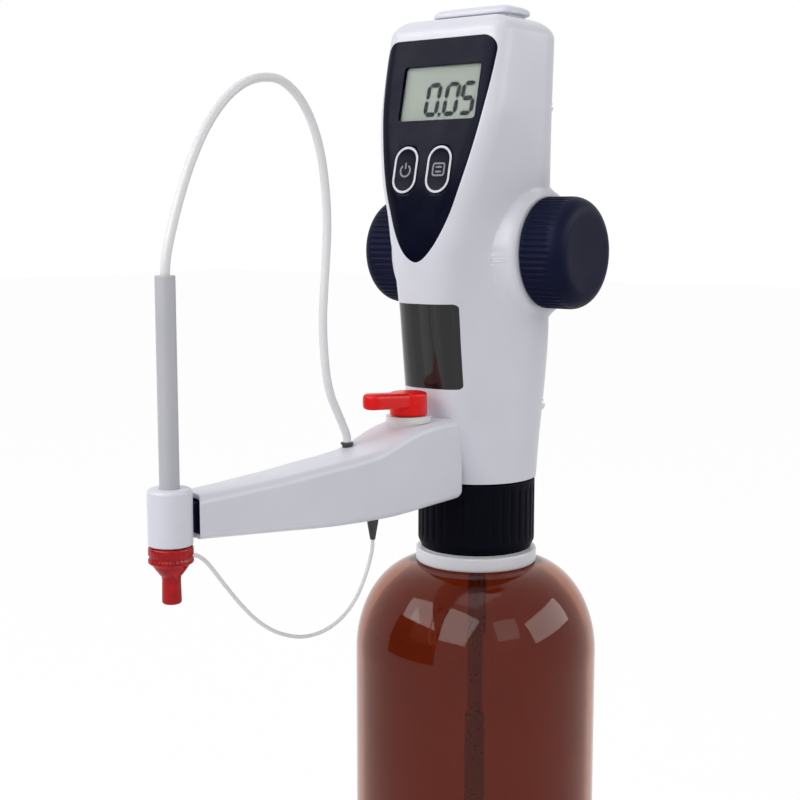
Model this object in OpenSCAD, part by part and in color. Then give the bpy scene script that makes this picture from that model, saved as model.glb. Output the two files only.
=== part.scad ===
// Bottle-top digital burette on its amber reservoir bottle.
// Two ribbed handwheels turn a pinion that drives a rack, rod and piston in a glass
// cylinder. Millimetres, +Z up, the front looks along -Y. The origin is the centre
// of the bottle's base, and the head turns about the Z axis on its screw collar.

/* [Bottle] */
// Outer diameter of the bottle
bottle_d = 101; // [90:1:115]
// Height of the bottle from its base to its lip
bottle_h = 225; // [210:1:250]
// Glass thickness of the bottle
bottle_wall = 3; // [2:0.5:4]
// Height of the curved shoulder
shoulder_h = 38; // [30:1:44]
// Outer diameter of the threaded neck
neck_d = 42; // [40:0.5:44]
// Length of the neck above the shoulder
neck_h = 27.6; // [26:0.2:30]
// Inner diameter of the neck
neck_bore_d = 33; // [30:0.5:36]

/* [Screw collar] */
// How far the white thread adapter's flange stands out beyond its thread
adapter_rim = 2.5; // [2:0.1:3.5]
// Height of the visible part of the adapter's flange
adapter_h = 6; // [4:0.2:7]
// Wall of the screw collar round the adapter's thread
collar_wall = 1.5; // [1.2:0.1:2.4]
// Thickness of the collar's top lip
collar_lip_t = 2.9; // [2:0.1:4]
// Chamfer at the collar's lower edge
collar_chamfer = 3.5; // [1:0.5:5]
// Number of grip flutes round the collar
collar_flutes = 36; // [24:2:48]

/* [Housing] */
// Greatest width of the housing
body_w = 59; // [56:1:64]
// Reach of the housing behind the axis
body_rear = 22; // [21:0.5:25]
// Height of the housing up to the spring of its crowned roof
body_h = 176; // [170:1:184]
// Rise of the crowned roof
roof_h = 8; // [6:0.5:9]
// Thickness of the housing shells
shell_wall = 2.2; // [1.8:0.1:2.6]
// Y of the plane where the front and rear shells meet, and of the cross shaft
parting_y = 5; // [4:0.5:6]

/* [Front panel] */
// Half of the dark panel's greatest width
panel_half_w = 26.6; // [24:0.2:27]
// Height of the panel's lower tip above the housing's foot
panel_tip_h = 89; // [86:1:92]
// Thickness of the panel
panel_t = 1.6; // [1.2:0.1:1.8]
// Width of the display opening
display_w = 38; // [34:0.5:39]
// Height of the display opening
display_h = 21.6; // [18:0.2:22]
// Offset of the display to the right
display_x = 1.8; // [0:0.2:2]
// Height of the display's centre above the housing's foot
display_up = 154; // [152:1:155]
// Width of each oval key
key_w = 13.6; // [11:0.2:14]
// Height of each oval key
key_h = 19.2; // [16:0.2:20]
// Distance between the two keys' centres
key_pitch = 17.4; // [16.8:0.2:18]
// Height of the keys' centres above the housing's foot
key_up = 124.5; // [123:0.5:126]
// Travel of a pressed key
key_travel = 1; // [0.6:0.1:1.2]

/* [Inspection window] */
// Half width of the curved window
window_half_w = 14.4; // [12:0.2:14.6]
// Height of the window's lower edge above the housing's foot
window_low = 39.4; // [38:0.2:42]
// Height of the window's upper edge above the housing's foot
window_high = 73; // [68:0.5:76]
// Thickness of the window
window_t = 1.8; // [1.4:0.1:2]

/* [Drive] */
// Height of the cross shaft above the housing's foot
shaft_up = 92.3; // [90:0.1:94]
// Diameter of the cross shaft
shaft_d = 6; // [5:0.5:7]
// Diameter of the handwheels
wheel_d = 44.4; // [40:0.2:48]
// Thickness of a handwheel
wheel_t = 18; // [14:0.5:20]
// Number of ribs round a handwheel
wheel_ribs = 56; // [40:2:72]
// Depth of the grooves between the ribs
rib_depth = 0.7; // [0.4:0.1:1]
// Diameter of the handwheel's flat face
wheel_face_d = 31; // [26:1:34]
// Distance of the housing's wheel boss from the middle plane
boss_x = 30.2; // [29.8:0.1:31]
// Tooth module of the pinion and rack
tooth_m = 1; // [0.8:0.1:1]
// Teeth of the pinion
pinion_teeth = 12; // [10:1:12]
// Face width of the pinion
pinion_w = 8; // [6:1:10]
// Stroke of the piston
stroke = 40; // [36:1:41]

/* [Cylinder and piston] */
// Inner diameter of the glass cylinder
cylinder_bore = 27; // [24:0.5:27]
// Glass thickness of the cylinder
cylinder_wall = 1.5; // [1.2:0.1:1.6]
// Length of the glass cylinder
cylinder_l = 52; // [50:1:53]
// Y of the cylinder's axis
cylinder_y = -10; // [-10.5:0.5:-9.5]
// Width of the rack bar
rack_w = 6; // [5:0.5:7]

/* [Arm] */
// Distance from the axis to the nozzle's axis
nozzle_reach = 174; // [170:1:178]
// Width of the arm at its root
arm_root_w = 24; // [22:0.5:25]
// Width of the arm at its tip
arm_tip_w = 14.8; // [13.5:0.1:16]
// Wall of the hollow part of the arm
arm_wall = 1.6; // [1.2:0.1:2]
// Distance from the axis to the stopcock's axis
stopcock_y = 47.4; // [46:0.2:49]
// Diameter of the stopcock's plug
plug_d = 9; // [8:0.2:10]
// Diameter of the stopcock handle's hub
hub_d = 14.5; // [13:0.5:16]
// Length of the stopcock's lever from its axis
lever_l = 26; // [22:1:28]
// Width of the stopcock's lever
lever_w = 8; // [6:0.5:9]

/* [Nozzle] */
// Diameter of the round nozzle holder
holder_d = 13.4; // [13:0.2:15]
// Height of the nozzle holder
holder_h = 18.4; // [16:0.2:20]
// Outer diameter of the guide sleeve
sleeve_d = 6.5; // [6:0.1:7]
// Visible length of the guide sleeve
sleeve_l = 67.5; // [60:0.5:72]
// Diameter of the discharge tube
tube_d = 3.1; // [2.6:0.1:3.2]
// Diameter of the screw cap's flange
cap_d = 14.6; // [14:0.2:16]
// Diameter of the screw cap's round end
cap_tip_d = 6.4; // [6:0.2:7]
// Diameter of the retaining strap
strap_d = 1.4; // [1:0.1:1.6]

/* [Battery bay] */
// Width of the battery lid
lid_w = 48; // [46:0.5:49]
// Depth of the battery lid from front to back
lid_d = 20; // [18:0.5:20.5]
// Thickness of the lid's visible slab
lid_t = 5.4; // [4:0.2:6]
// Diameter of a battery cell
cell_d = 8.3; // [7:0.1:8.4]
// Length of a battery cell
cell_l = 42.5; // [38:0.5:43]

/* [Intake] */
// Outer diameter of the upper intake tube
intake_d = 6.4; // [5:0.2:7]
// Height of the intake tube's lower end above the bottle's base
intake_low = 10; // [9:1:20]
// Travel of the telescopic lower intake tube
intake_travel = 50; // [30:1:55]

/* [Fits] */
// Play between parts of different bodies
clear = 0.3; // [0.3:0.05:0.4]
// Radial play of shafts and plugs in their bores
fit = 0.05; // [0.03:0.01:0.08]

/* [Hidden] */
$fn = 48;

white = [0.80, 0.80, 0.85];
navy = [0.05, 0.06, 0.14];
amber = [0.45, 0.20, 0.10, 0.6];
clear_glass = [0.75, 0.85, 0.85, 0.4];
smoke = [0.10, 0.10, 0.10, 0.6];
red = [0.90, 0.06, 0.06];
steel = [0.65, 0.66, 0.68];
brass = [0.75, 0.62, 0.30];
grey = [0.55, 0.56, 0.58];

// Radii of the bottle, adapter and collar
bottle_r = bottle_d / 2;
neck_r = neck_d / 2;
neck_in = neck_bore_d / 2;
adapter_in = neck_r + 0.15;
adapter_out = neck_r + 1.7;
adapter_r = adapter_out + adapter_rim;
collar_bore = adapter_out + 0.1;
collar_r = collar_bore + collar_wall;
foot_r = collar_r + clear;

// Levels of the bottle, collar and housing
shoulder_z = bottle_h - neck_h;
adapter_z = shoulder_z + 0.1;
collar_z = adapter_z + adapter_h + clear;
gasket_t = 1.5;
flange_z = bottle_h + gasket_t + clear;
flange_t = 3.4;
collar_lip_z = flange_z + flange_t + clear;
collar_top = collar_lip_z + collar_lip_t;
base_z = collar_top + 0.6;
roof_z = base_z + body_h;
shaft_z = base_z + shaft_up;
block_top = base_z + 25.8;
lip_hole_r = 17.4;
stem_r = 7.5;
stem_low = shoulder_z + 7;

// Drive train
pitch_r = tooth_m * pinion_teeth / 2;
rack_pitch_y = parting_y - pitch_r;
pressure_angle = 25;
wheel_in = boss_x + clear;
wheel_out = wheel_in + wheel_t;
piston_z = block_top + 1.5;
piston_t = 6;
cylinder_r = cylinder_bore / 2 + cylinder_wall;
cylinder_top = block_top + cylinder_l;
rack_top = shaft_z + 10;
bush_l = 7;
bush_r = shaft_d / 2 + 2.2;
disc_x = 15;
disc_r = 10;

// ---------- general helpers ----------
function mix(a, b, t) = a + (b - a) * t;
function unit(v) = v / norm(v);

// Uniform Catmull-Rom curve through the rows of a table, at position u
function knot(t, i) = t[max(0, min(len(t) - 1, i))];
function catmull(t, u) = let (i = min(len(t) - 2, floor(u)), s = u - i, a = knot(t, i - 1),
    b = knot(t, i), c = knot(t, i + 1), d = knot(t, i + 2))
    b + s / 2 * ((c - a) + s * (2 * a - 5 * b + 4 * c - d + s * (3 * b - a - 3 * c + d)));
function smooth(t, n) = [for (k = [0 : (len(t) - 1) * n]) catmull(t, k / n)];

// Closed solid through rings of equal, even point count; its end faces are strips
// between the ring's two halves
module loft(rings) {
    n = len(rings[0]);
    last = len(rings) - 1;
    points = [for (r = rings) each r];
    sides = [for (i = [0 : last - 1], j = [0 : n - 1]) let (a = i * n + j, b = a + n,
        c = (i + 1) * n + (j + 1) % n, d = i * n + (j + 1) % n) each [[a, b, c], [a, c, d]]];
    strip = [for (j = [0 : n / 2 - 2]) each [[j, j + 1, n - 2 - j], [j, n - 2 - j, n - 1 - j]]];
    far = [for (t = strip) [t[2] + last * n, t[1] + last * n, t[0] + last * n]];
    polyhedron(points, concat(sides, strip, far), convexity = 6);
}

// Round tube swept along a route that lies near a plane of constant X
module cord_tube(route, d, sides) {
    last = len(route) - 1;
    rings = [for (i = [0 : last]) let (t = unit(route[min(last, i + 1)] - route[max(0, i - 1)]),
        n = unit([1, 0, 0] - t[0] * t), b = cross(t, n))
        [for (k = [0 : sides - 1]) route[i] + d / 2 * (cos(k * 360 / sides) * n
            + sin(k * 360 / sides) * b)]];
    loft(rings);
}

module tube(r_out, r_in, z0, z1) {
    translate([0, 0, z0]) difference() {
        cylinder(r = r_out, h = z1 - z0);
        translate([0, 0, -1]) cylinder(r = r_in, h = z1 - z0 + 2);
    }
}

// Rounded rectangle of points round a centre, at height z
function rect_ring(mid, hw, hd, r, z) = [for (q = [0 : 3], t = [0 : 15 : 90])
    let (sx = (q == 0 || q == 3) ? 1 : -1, sy = q < 2 ? 1 : -1, a = q * 90 + t)
    [mid[0] + sx * (hw - r) + r * cos(a), mid[1] + sy * (hd - r) + r * sin(a), z]];

module along_x(x0, x1, r) {
    translate([x0, parting_y, shaft_z]) rotate([0, 90, 0]) cylinder(r = r, h = x1 - x0);
}

module round_rect(w, h, r) {
    hull() for (x = [-1, 1], y = [-1, 1])
        translate([x * (w / 2 - r), y * (h / 2 - r)]) circle(r = r, $fn = 32);
}

// ---------- housing form ----------
// Stations up the housing: height, rear half width, front half width, front reach,
// rear reach, front corner radius, rear corner radius
half_w = body_w / 2;
corner_steps = 7;
body_stations = [
    [0, foot_r, foot_r, foot_r, foot_r, foot_r - 0.6, foot_r - 0.6],
    [8, half_w - 4.2, 22.5, 26.6, body_rear + 1.6, 18, 23],
    [18, half_w - 3.2, 19.5, 30.2, body_rear + 0.6, 15, 22],
    [28, half_w - 2.3, 17.5, 33.8, body_rear + 0.2, 13.5, 21],
    [39, half_w - 1.3, 16.6, 37.2, body_rear, 13, 20.5],
    [56, half_w - 0.2, 16, 41, body_rear, 13, 20],
    [73, half_w, 15.8, 43.6, body_rear, 13, 20],
    [89, half_w - 0.1, 16.9, 44.6, body_rear, 12, 20],
    [97, half_w - 0.3, 19.2, 44.2, body_rear, 12, 20],
    [107, half_w - 0.6, 21.5, 43.3, body_rear, 10.5, 20],
    [121, half_w - 0.8, 25.2, 41.2, body_rear, 8.5, 20],
    [143, half_w - 0.2, half_w - 0.5, 36.8, body_rear, 6, 20],
    [160, half_w, half_w - 0.1, 33.4, body_rear, 5, 19],
    [body_h, half_w, half_w - 0.1, 29, body_rear, 5, 18]];
body_fine = smooth(body_stations, 4);
function at_height(h) = [for (i = [0 : 6]) lookup(h, [for (r = body_fine) [r[0], r[i]]])];

// One horizontal outline of the housing, drawn inwards by inset: four corner arcs that
// meet the sloping sides at the angle where a straight side touches both of them
function side_angle(s) = let (dx = s[1] - s[6] - s[2] + s[5], dy = s[4] - s[6] - s[5] + s[3])
    atan2(dy, dx) - acos((s[5] - s[6]) / norm([dx, dy]));
function half_ring(s, inset, z) = let (q = side_angle(s), rf = s[5], rb = s[6], n = corner_steps)
    concat([for (k = [0 : n]) let (a = mix(-90, q, k / n))
        [s[2] - rf + (rf - inset) * cos(a), rf - s[3] + (rf - inset) * sin(a), z]],
    [for (k = [0 : n]) let (a = mix(q, 90, k / n))
        [s[1] - rb + (rb - inset) * cos(a), s[4] - rb + (rb - inset) * sin(a), z]]);
function body_ring(s, inset, z) = let (h = half_ring(s, inset, z), n = len(h))
    concat(h, [for (k = [n - 1 : -1 : 0]) [-h[k][0], h[k][1], z]]);

// The crowned roof draws the last outline inwards along an elliptic arc
roof_inset = 13;
function roof_row(inset) = let (s = at_height(body_h)) [s[0], s[1] - inset, s[2] - inset,
    s[3] - inset, s[4] - inset, max(5, s[5] + inset * 0.3), max(5, s[6] - inset * 0.6)];
function body_rings(inset, low, high, step) = concat(
    [for (h = [low : step : body_h - 0.01]) body_ring(at_height(h), inset, base_z + h)],
    [for (a = [0 : 15 : 75]) body_ring(roof_row(roof_inset * (1 - cos(a))), inset,
        roof_z + (roof_h - high) * sin(a))]);

module body_solid() {
    loft(body_rings(0, 0, 0, 8));
}
module body_hollow() {
    loft(body_rings(shell_wall, shell_wall, shell_wall, 11));
}

// Patch of the front skin between two heights, with a half width from a list of rows
// [height, half width], between two depths below the skin
function skin_point(s, x, inset, z) = let (a = s[2] - s[5], r = s[5], e = abs(x) - a,
    f = e <= 0 ? 0 : asin(min(1, e / r)), g = x < 0 ? -1 : 1)
    e <= 0 ? [x, inset - s[3], z]
        : [g * (a + (r - inset) * sin(f)), r - s[3] - (r - inset) * cos(f), z];
module skin_patch(rows, d0, d1, n) {
    rings = [for (r = rows) let (s = at_height(r[0]), z = base_z + r[0]) concat(
        [for (k = [0 : n]) skin_point(s, r[1] * (2 * k / n - 1), d0, z)],
        [for (k = [n : -1 : 0]) skin_point(s, r[1] * (2 * k / n - 1), d1, z)])];
    loft(rings);
}

// ---------- front panel form ----------
panel_top_h = body_h - 0.6;
panel_corner = 6;
function panel_half(h) = let (t = (h - panel_tip_h) / (panel_top_h - panel_tip_h),
    w = panel_half_w * pow(1 - pow(1 - t, 2), 0.62), c = h - panel_top_h + panel_corner)
    c <= 0 ? w : w - panel_corner + sqrt(max(0, panel_corner * panel_corner - c * c));
function panel_rows(grow) = let (low = panel_tip_h + 0.2, cuts = [0, 0.012, 0.04, 0.09, 0.16,
    0.25, 0.36, 0.48, 0.6, 0.72, 0.82, 0.9, 0.935, 0.965, 0.985, 1])
    [for (c = cuts) let (h = mix(low, panel_top_h - 0.02, c))
        [h + grow * (c * 2 - 1), panel_half(h) + grow]];
panel_tilt = atan(0.2);

// Places children on the panel's plane: X right, Y up the panel, Z out of it
module on_panel(x, h) {
    s = at_height(h);
    translate([x, -s[3], base_z + h]) rotate([90 - panel_tilt, 0, 0]) children();
}
module oval(w, h) {
    hull() for (y = [-1, 1]) translate([0, y * (h - w) / 2]) circle(d = w, $fn = 32);
}

// ---------- bottle and collar ----------
base_ring = 12;
push_up = 4;
function shoulder(r0, r1, z0, h) = [for (a = [0 : 10 : 90])
    [r0 + (r1 - r0) * cos(a), z0 + h * sin(a)]];
module bottle() {
    cyl_z = shoulder_z - shoulder_h;
    outer = concat([[0, push_up], [bottle_r - base_ring, push_up - 1.5], [bottle_r - base_ring + 2, 0],
        [bottle_r - 4, 0], [bottle_r - 1.2, 1.2], [bottle_r, 4]],
        shoulder(neck_r + 1.8, bottle_r, cyl_z, shoulder_h),
        [[neck_r, shoulder_z + 1.6], [neck_r, bottle_h - 0.8], [neck_r - 0.8, bottle_h],
        [neck_in + 0.8, bottle_h], [neck_in, bottle_h - 0.8], [neck_in, shoulder_z - 0.5]]);
    inner_r = bottle_r - bottle_wall;
    inner = [for (a = [80 : -10 : 0]) [neck_in - 1 + (inner_r - neck_in + 1) * cos(a),
        cyl_z - bottle_wall / 2 + (shoulder_h - 1) * sin(a)]];
    floor_in = [[inner_r, 9], [inner_r - 3, 5.4], [bottle_r - base_ring - 4, 4 + bottle_wall],
        [0, push_up + bottle_wall + 0.5]];
    color(amber) rotate_extrude() polygon(concat(outer, inner, floor_in));
}

module thread_adapter() {
    color("white") rotate_extrude() polygon([[adapter_in, adapter_z + 2.4],
        [adapter_in + 2, adapter_z], [adapter_r - 1, adapter_z],
        [adapter_r, adapter_z + 1], [adapter_r, adapter_z + adapter_h - 0.6],
        [adapter_r - 0.6, adapter_z + adapter_h], [adapter_out, adapter_z + adapter_h],
        [adapter_out, bottle_h - 1], [adapter_in, bottle_h - 1]]);
}

flute_r = 0.9;
flute_depth = 0.4;
module bottle_collar() {
    chamfer_in = collar_chamfer * 0.45;
    flute_low = collar_z + collar_chamfer + 1.5;
    color(navy) difference() {
        rotate_extrude() polygon([[0, collar_z], [collar_r - chamfer_in - 0.5, collar_z],
            [collar_r - chamfer_in, collar_z + 0.5], [collar_r, collar_z + collar_chamfer],
            [collar_r, collar_top - 0.8], [collar_r - 0.8, collar_top], [0, collar_top]]);
        translate([0, 0, collar_z - 1]) cylinder(r = collar_bore, h = collar_lip_z - collar_z + 1);
        translate([0, 0, collar_z]) cylinder(r = lip_hole_r, h = collar_top);
        for (i = [0 : collar_flutes - 1]) rotate([0, 0, (i + 0.5) * 360 / collar_flutes])
            translate([collar_r + flute_r - flute_depth, 0, flute_low])
                cylinder(r = flute_r, h = collar_top - 3.5 - flute_low, $fn = 16);
    }
}

module bottle_gasket() {
    color(grey) tube(neck_r - 0.6, neck_in + 0.6, bottle_h, bottle_h + gasket_t);
}

// ---------- valve block and intake ----------
outlet_z = base_z + 8.8;
outlet_r = 2;
ball_r = 2;
chamber_r = 2.6;
intake_ball_z = base_z + 2;
discharge_ball_y = -19.5;
discharge_ball_z = base_z + 14;
arm_root = 26;
module valve_block() {
    color([0.88, 0.88, 0.86]) difference() {
        union() {
            translate([0, 0, stem_low]) cylinder(r = stem_r, h = flange_z - stem_low + 1);
            translate([0, 0, flange_z]) cylinder(r = neck_r - 0.2, h = flange_t);
            translate([0, 0, flange_z]) cylinder(r = lip_hole_r - clear, h = block_top - 13 - flange_z);
            translate([0, cylinder_y, base_z + 12.8])
                cylinder(r = cylinder_r + 1.6, h = block_top - base_z - 12.8);
            translate([-9, -arm_root, base_z + 3.4]) cube([18, arm_root - 10, 12]);
        }
        translate([-20, -arm_root - 20, base_z]) cube([40, 20, 40]);
        translate([0, 0, stem_low - 1]) cylinder(r = intake_d / 2 + 0.02, h = 13);
        translate([0, 0, stem_low + 4]) cylinder(r = 1.3, h = intake_ball_z - stem_low - 5);
        translate([0, 0, intake_ball_z - 1.6]) cylinder(r = chamber_r, h = 6.6);
        translate([0, 0, intake_ball_z + 4]) cylinder(r = 1.3, h = block_top - intake_ball_z);
        translate([0, discharge_ball_y, discharge_ball_z + 1])
            cylinder(r = 1.3, h = block_top - discharge_ball_z);
        translate([0, discharge_ball_y, discharge_ball_z - 1.6]) cylinder(r = chamber_r, h = 6.6);
        translate([0, discharge_ball_y, outlet_z]) cylinder(r = 1.3, h = discharge_ball_z - outlet_z);
        translate([0, -8, outlet_z]) rotate([90, 0, 0]) cylinder(r = outlet_r + 0.02, h = 20);
    }
}
module intake_ball() {
    color("white") translate([0, 0, intake_ball_z + ball_r - 1.5]) sphere(r = ball_r);
}
module discharge_ball() {
    color("white") translate([0, discharge_ball_y, discharge_ball_z + ball_r - 1.5])
        sphere(r = ball_r);
}

intake_r = intake_d / 2;
intake_split = 130;
module intake_tube_upper() {
    color("white") tube(intake_r, intake_r - 1, intake_split - 30, stem_low + 4);
}
module intake_tube_lower() {
    color("white") tube(intake_r + fit + 1, intake_r + fit, intake_low, intake_split);
}
return_y = 6;
module return_tube() {
    color("white") translate([0, return_y, 0]) tube(1.2, 0.7, stem_low - 40, stem_low);
}

// ---------- housing shells ----------
// Each handwheel stands on a round boss that flares into the housing's side
boss_r = wheel_d / 2 + 0.8;
flare_w = 5;
flare_l = 9;
module both_sides() {
    for (g = [0, 1]) mirror([g, 0, 0]) children();
}
module wheel_fairing() {
    flare = [for (a = [0 : 15 : 90]) [boss_r + flare_w * (1 - cos(a)), flare_l * sin(a)]];
    both_sides() intersection() {
        translate([boss_x, parting_y, shaft_z]) rotate([0, -90, 0]) rotate_extrude($fn = 96)
            polygon(concat([[0, 0]], flare, [[0, flare_l]]));
        translate([0, body_rear - 100, shaft_z - 50]) cube([100, 100, 100]);
    }
}
screw_r = 1.5;
screw_boss_r = 4;
screw_seat = 5.6;
module at_screws() {
    both_sides() for (h = [30, 150])
        translate([at_height(h)[1] - shell_wall - screw_boss_r + 1.2, parting_y, base_z + h])
            rotate([-90, 0, 0]) children();
}
arm_slot_w = arm_root_w + 2 * clear;
arm_slot_top = base_z + 28.4;
bay_w = cell_l + 2.6;
bay_y0 = -3.2;
bay_d = 2 * cell_d + 2;
module body_shell() {
    difference() {
        union() {
            body_solid();
            wheel_fairing();
        }
        difference() {
            body_hollow();
            at_screws() translate([0, 0, -9]) cylinder(r = screw_boss_r, h = 40);
            both_sides() along_x(boss_x - bush_l + 0.6, boss_x, bush_r + 3);
        }
        translate([0, 0, base_z - 1]) cylinder(r = lip_hole_r, h = shell_wall + 2);
        along_x(-boss_x - 1, boss_x + 1, shaft_d / 2 + 0.5);
        both_sides() along_x(boss_x - bush_l, boss_x + 1, bush_r + 0.02);
        translate([-bay_w / 2, bay_y0, roof_z - 4]) cube([bay_w, bay_d, 20]);
    }
}
module half_space(front) {
    translate([-60, front ? parting_y - 100 : parting_y, base_z - 5]) cube([120, 100, 220]);
}
module housing_front() {
    color(white) difference() {
        intersection() {
            body_shell();
            half_space(true);
        }
        skin_patch(panel_rows(0.12), -2, panel_t + 0.1, 12);
        skin_patch([for (h = [window_low - 0.12, 46, 52, 58, 64, window_high + 0.12])
            [h, window_half_w + 0.12]], -2, shell_wall + 2, 10);
        on_panel(display_x, display_up) translate([0, 0, -12])
            linear_extrude(12) round_rect(display_w - 2, display_h - 2, 1);
        for (g = [-1, 1]) on_panel(g * key_pitch / 2, key_up) translate([0, 0, -12])
            linear_extrude(12) oval(key_w, key_h);
        translate([-arm_slot_w / 2, -60, base_z - 1]) cube([arm_slot_w, 39, arm_slot_top - base_z + 1]);
        at_screws() translate([0, 0, -14]) cylinder(r = screw_r - 0.1, h = 15);
    }
}
module housing_rear() {
    color(white) difference() {
        intersection() {
            body_shell();
            half_space(false);
        }
        at_screws() translate([0, 0, -1]) cylinder(r = screw_r + 0.1, h = 40);
        at_screws() translate([0, 0, screw_seat]) cylinder(r = screw_boss_r - 1, h = 40);
    }
}
module housing_screws() {
    color(steel) at_screws() {
        translate([0, 0, -9]) cylinder(r = screw_r - 0.1, h = screw_seat + 9.5);
        difference() {
            translate([0, 0, screw_seat]) cylinder(r = screw_boss_r - 1.2, h = 2.2);
            translate([0, 0, screw_seat + 1]) cylinder(r = 1.3, h = 2, $fn = 6);
        }
    }
}

// ---------- front panel, display and keys ----------
module front_panel() {
    color(navy) difference() {
        skin_patch(panel_rows(0), 0, panel_t, 12);
        on_panel(display_x, display_up) translate([0, 0, -6])
            linear_extrude(12) round_rect(display_w, display_h, 1.5);
        for (g = [-1, 1]) on_panel(g * key_pitch / 2, key_up) translate([0, 0, -6])
            linear_extrude(12) oval(key_w, key_h);
    }
}
module display_window() {
    color(clear_glass) on_panel(display_x, display_up) translate([0, 0, -1.5])
        linear_extrude(1.2) round_rect(display_w - 0.2, display_h - 0.2, 1.4);
}
lcd_t = 3.2;
board_t = 1.6;
board_w = display_w + 1;
board_h = display_up - key_up + 22.5;
board_up = mix(key_up, display_up, 0.5);
// Depths of the display cell's back and of the board's back below the panel's face
lcd_back = panel_t + lcd_t + 1.2;
board_back = lcd_back + board_t;
module lcd_module() {
    color([0.45, 0.48, 0.46]) on_panel(display_x, display_up) translate([0, 0, -lcd_back]) {
        linear_extrude(lcd_t) round_rect(display_w - 2.6, display_h - 2.6, 0.8);
        linear_extrude(lcd_t + 1.1) round_rect(display_w - 6, display_h - 6, 0.8);
    }
}
module circuit_board() {
    color([0.10, 0.35, 0.20]) on_panel(0, board_up) translate([0, 0, -board_back]) {
        linear_extrude(board_t) round_rect(board_w, board_h, 2);
        for (g = [-1, 1]) translate([g * key_pitch / 2, key_up - board_up, board_t])
            cylinder(r = 2.5, h = 1.2);
        translate([-14, 16, -2.4]) cube([9, 6, 2.4]);
        translate([2, 4, -1.8]) cube([12, 12, 1.8]);
    }
}
module push_key(x) {
    on_panel(x, key_up) {
        translate([0, 0, -2.4]) linear_extrude(2.6) oval(key_w - 2 * clear, key_h - 2 * clear);
        translate([0, 0, -4.8 + key_travel + 0.02]) cylinder(r = 2, h = 3);
    }
}
module key_power() {
    color(navy) push_key(-key_pitch / 2);
}
module key_clear() {
    color(navy) push_key(key_pitch / 2);
}
module inspection_window() {
    color(smoke) skin_patch([for (h = [window_low, 46, 52, 58, 64, window_high])
        [h, window_half_w]], 0.1, window_t, 10);
}

// ---------- cylinder, piston and drive ----------
module at_cylinder() {
    translate([0, cylinder_y, 0]) children();
}
module glass_cylinder() {
    color(clear_glass) at_cylinder() tube(cylinder_r, cylinder_bore / 2, block_top, cylinder_top);
}
rack_back = cylinder_y - 3.5;
rack_root = rack_pitch_y - 1.25 * tooth_m;
rack_tip = rack_pitch_y + tooth_m;
module cylinder_cap() {
    color(white) difference() {
        at_cylinder() union() {
            translate([0, 0, cylinder_top]) cylinder(r = cylinder_r + 1.5, h = 3.4);
            tube(cylinder_r + 1.5, cylinder_r + 0.1, cylinder_top - 4, cylinder_top + 1);
        }
        translate([-rack_w / 2 - clear, rack_back - clear, cylinder_top - 1])
            cube([rack_w + 2 * clear, rack_tip - rack_back + 2 * clear, 8]);
    }
}
module piston() {
    color("white") at_cylinder() difference() {
        translate([0, 0, piston_z]) cylinder(r = cylinder_bore / 2 - 0.25, h = piston_t);
        tube(cylinder_bore / 2 + 1, cylinder_bore / 2 - 1.6, piston_z + 2, piston_z + 4);
    }
}
module piston_seal() {
    color([0.2, 0.2, 0.2]) at_cylinder()
        tube(cylinder_bore / 2 - fit, cylinder_bore / 2 - 1.6, piston_z + 2, piston_z + 4);
}

// One rack tooth points to +Y; its flanks lean at the pressure angle
tooth_pitch = PI * tooth_m;
rack_play = 0.12;
rack_low = shaft_z - stroke - 8;
rack_count = floor((rack_top - rack_low) / tooth_pitch);
function rack_tooth(zc) = let (h = tooth_pitch / 4 - rack_play / 2, k = tan(pressure_angle))
    [[rack_root, zc - h - 1.25 * tooth_m * k], [rack_tip, zc - h + tooth_m * k],
    [rack_tip, zc + h - tooth_m * k], [rack_root, zc + h + 1.25 * tooth_m * k]];
module rack_rod() {
    first = shaft_z - floor((shaft_z - rack_low) / tooth_pitch) * tooth_pitch;
    teeth = [for (i = [0 : rack_count - 1]) each rack_tooth(first + i * tooth_pitch)];
    outline = concat([[rack_back, piston_z + piston_t], [rack_root, piston_z + piston_t]], teeth,
        [[rack_root, rack_top + 2], [rack_back, rack_top + 2]]);
    color(steel) {
        rotate([90, 0, 90]) translate([0, 0, -rack_w / 2]) linear_extrude(rack_w) polygon(outline);
    }
}

// Involute tooth flank from the base circle to the tip circle
base_r = pitch_r * cos(pressure_angle);
pinion_tip = pitch_r + tooth_m;
pinion_root = pitch_r - 1.25 * tooth_m;
function inv_angle(r) = r <= base_r ? 0 : let (t = sqrt(pow(r / base_r, 2) - 1))
    t * 180 / PI - atan(t);
half_tooth = 90 / pinion_teeth + inv_angle(pitch_r) - 0.5;
function polar(r, a) = [r * cos(a), r * sin(a)];
module pinion_outline() {
    // A tooth gap faces the rack at rest
    turn = 180 + 180 / pinion_teeth;
    points = [for (i = [0 : pinion_teeth - 1]) let (c = turn + i * 360 / pinion_teeth) each concat(
        [polar(pinion_root, c - half_tooth)],
        [for (k = [0 : 3]) let (r = mix(base_r, pinion_tip, k / 3))
            polar(r, c - half_tooth + inv_angle(r))],
        [for (k = [3 : -1 : 0]) let (r = mix(base_r, pinion_tip, k / 3))
            polar(r, c + half_tooth - inv_angle(r))],
        [polar(pinion_root, c + half_tooth)])];
    polygon(points);
}
module pinion() {
    color(brass) difference() {
        translate([-pinion_w / 2, parting_y, shaft_z]) rotate([90, 0, 90])
            linear_extrude(pinion_w) pinion_outline();
        along_x(-pinion_w, pinion_w, shaft_d / 2 + 0.01);
    }
}
module drive_shaft() {
    color(steel) along_x(3 - wheel_out, wheel_out - 3, shaft_d / 2);
}
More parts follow.
